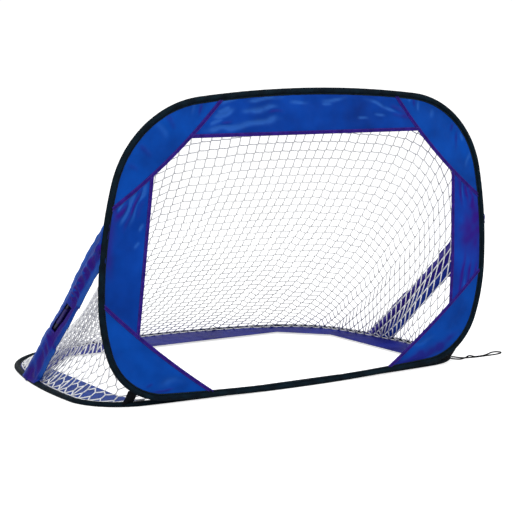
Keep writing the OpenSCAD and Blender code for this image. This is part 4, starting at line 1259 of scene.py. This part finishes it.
def make_tab(word):
    """A webbing strap from the ground rim to the mouth rim."""
    low, high = (np.array(p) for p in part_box(f"{word}_joining_tab"))
    x = (low[0] + high[0]) / 2
    foot = np.array([x, high[1] - TAB_LAP, low[2] + TAB_RISE])
    top = np.array([x, low[1] + TAB_LAP, high[2] - TAB_RISE])
    run = top - foot
    length = float(np.linalg.norm(run))
    face = np.cross([1.0, 0, 0], run / length)
    t = np.linspace(0, 1, TAB_ROWS)
    middle = foot + run * t[:, None] + face * (TAB_BOW * np.sin(math.pi * t))[:, None]
    rings = [middle + np.array([u * TAB_W / 2, 0, 0]) + face * (v * TAB_T / 2) for u, v in TAB_SECTION]
    vertices = np.stack(rings, axis=1).reshape(-1, 3)
    uvs = grid_uvs(t * length, [u * TAB_W / 2 for u, _ in TAB_SECTION])
    tab = make_object(f"{word}_tab_webbing", vertices, tube_faces(TAB_ROWS, len(TAB_SECTION)), STRAP, uvs)
    attach(tab, node=f"{word}_joining_tab")
    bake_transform(tab)


def dress_hardware():
    """The CAD nodes that stay get their finish; the pole ferrules get painted shade."""
    finishes = {"base_spring_rod": STEEL, "front_spring_rod": STEEL}
    finishes |= {"base_rod_ferrule": ALUMINIUM, "front_rod_ferrule": ALUMINIUM}
    for word in SIDES.values():
        finishes |= {f"{word}_lower_pole": FIBRE, f"{word}_upper_pole": FIBRE}
        finishes |= {f"{word}_foot_tip": PLASTIC, f"{word}_top_tip": PLASTIC}
        # painted shade in the sleeve's window
        finishes[f"{word}_pole_ferrule"] = FERRULE_SLOT_SHADE
    for node, material in finishes.items():
        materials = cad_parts[node].data.materials
        materials.clear()
        materials.append(material)


# ---- floor and light ----
FLOOR_REACH, FLOOR_GLOW = 60.0, 0.66
FLOOR_GREYS = ((0.3, 0.60), (0.7, 0.64))
WORLD_SEEN, WORLD_LIGHT = 1.05, 0.90


def make_floor():
    """A white floor. To the camera it glows a little, as a bleached studio floor does."""
    reach = FLOOR_REACH
    corners = [(-reach, -reach, 0), (reach, -reach, 0), (reach, reach, 0), (-reach, reach, 0)]
    mesh = bpy.data.meshes.new("floor")
    mesh.from_pydata(corners, [], [(0, 1, 2, 3)])
    s = Surface("floor_paper", 0.9, Specular_IOR_Level=0.0)
    s.shader.inputs["Emission Color"].default_value = (1, 1, 1, 1)
    seen = s.add("ShaderNodeLightPath").outputs["Is Camera Ray"]
    s.link(s.maths("MULTIPLY", seen, FLOOR_GLOW), s.shader.inputs["Emission Strength"])
    grain = s.noise(s.object_place(), 3.0, 2.0)
    s.colour(s.ramp(grain, [(place, (grey, grey, grey, 1)) for place, grey in FLOOR_GREYS]))
    mesh.materials.append(s.material)
    add_to_scene("floor", mesh)


def add_light(name, at, target, size, power):
    data = bpy.data.lights.new(name, "AREA")
    data.shape, data.size, data.energy = "SQUARE", size, power
    light = add_to_scene(name, data)
    light.location = at
    light.rotation_euler = (Vector(target) - Vector(at)).to_track_quat("-Z", "Y").to_euler()


def make_light():
    """White studio: the backdrop looks white, and most of the light comes from soft boxes."""
    world = bpy.data.worlds.new("studio")
    world.use_nodes = True
    tree = world.node_tree
    rays = tree.nodes.new("ShaderNodeLightPath")
    level = tree.nodes.new("ShaderNodeMapRange")
    level.inputs["To Min"].default_value = WORLD_LIGHT
    level.inputs["To Max"].default_value = WORLD_SEEN
    background = tree.nodes["Background"]
    background.inputs["Color"].default_value = (1, 1, 1, 1)
    tree.links.new(rays.outputs["Is Camera Ray"], level.inputs["Value"])
    tree.links.new(level.outputs["Result"], background.inputs["Strength"])
    bpy.context.scene.world = world
    add_light("key", (-2.6, -3.2, 3.4), (0, 0.1, 0.4), 1.6, 132)
    add_light("fill", (2.8, -3.0, 1.8), (0, 0.2, 0.3), 2.5, 42)
    add_light("back", (0.5, 3.5, 2.6), (0, 0.3, 0.3), 2.5, 40)


bpy.context.scene.view_settings.view_transform = "Standard"
place_camera()
make_light()
make_floor()
make_loop()
make_rim("mouth_rim", MOUTH, on_mouth, "front_rim_sleeve", -1.0)
make_rim("ground_rim", GROUND, on_ground, "base_rim_sleeve", 0.0002)
make_borders()
make_tapes()
make_net()
make_struts()
make_pockets()
make_piping()
for word in SIDES.values():
    make_tab(word)
dress_hardware()
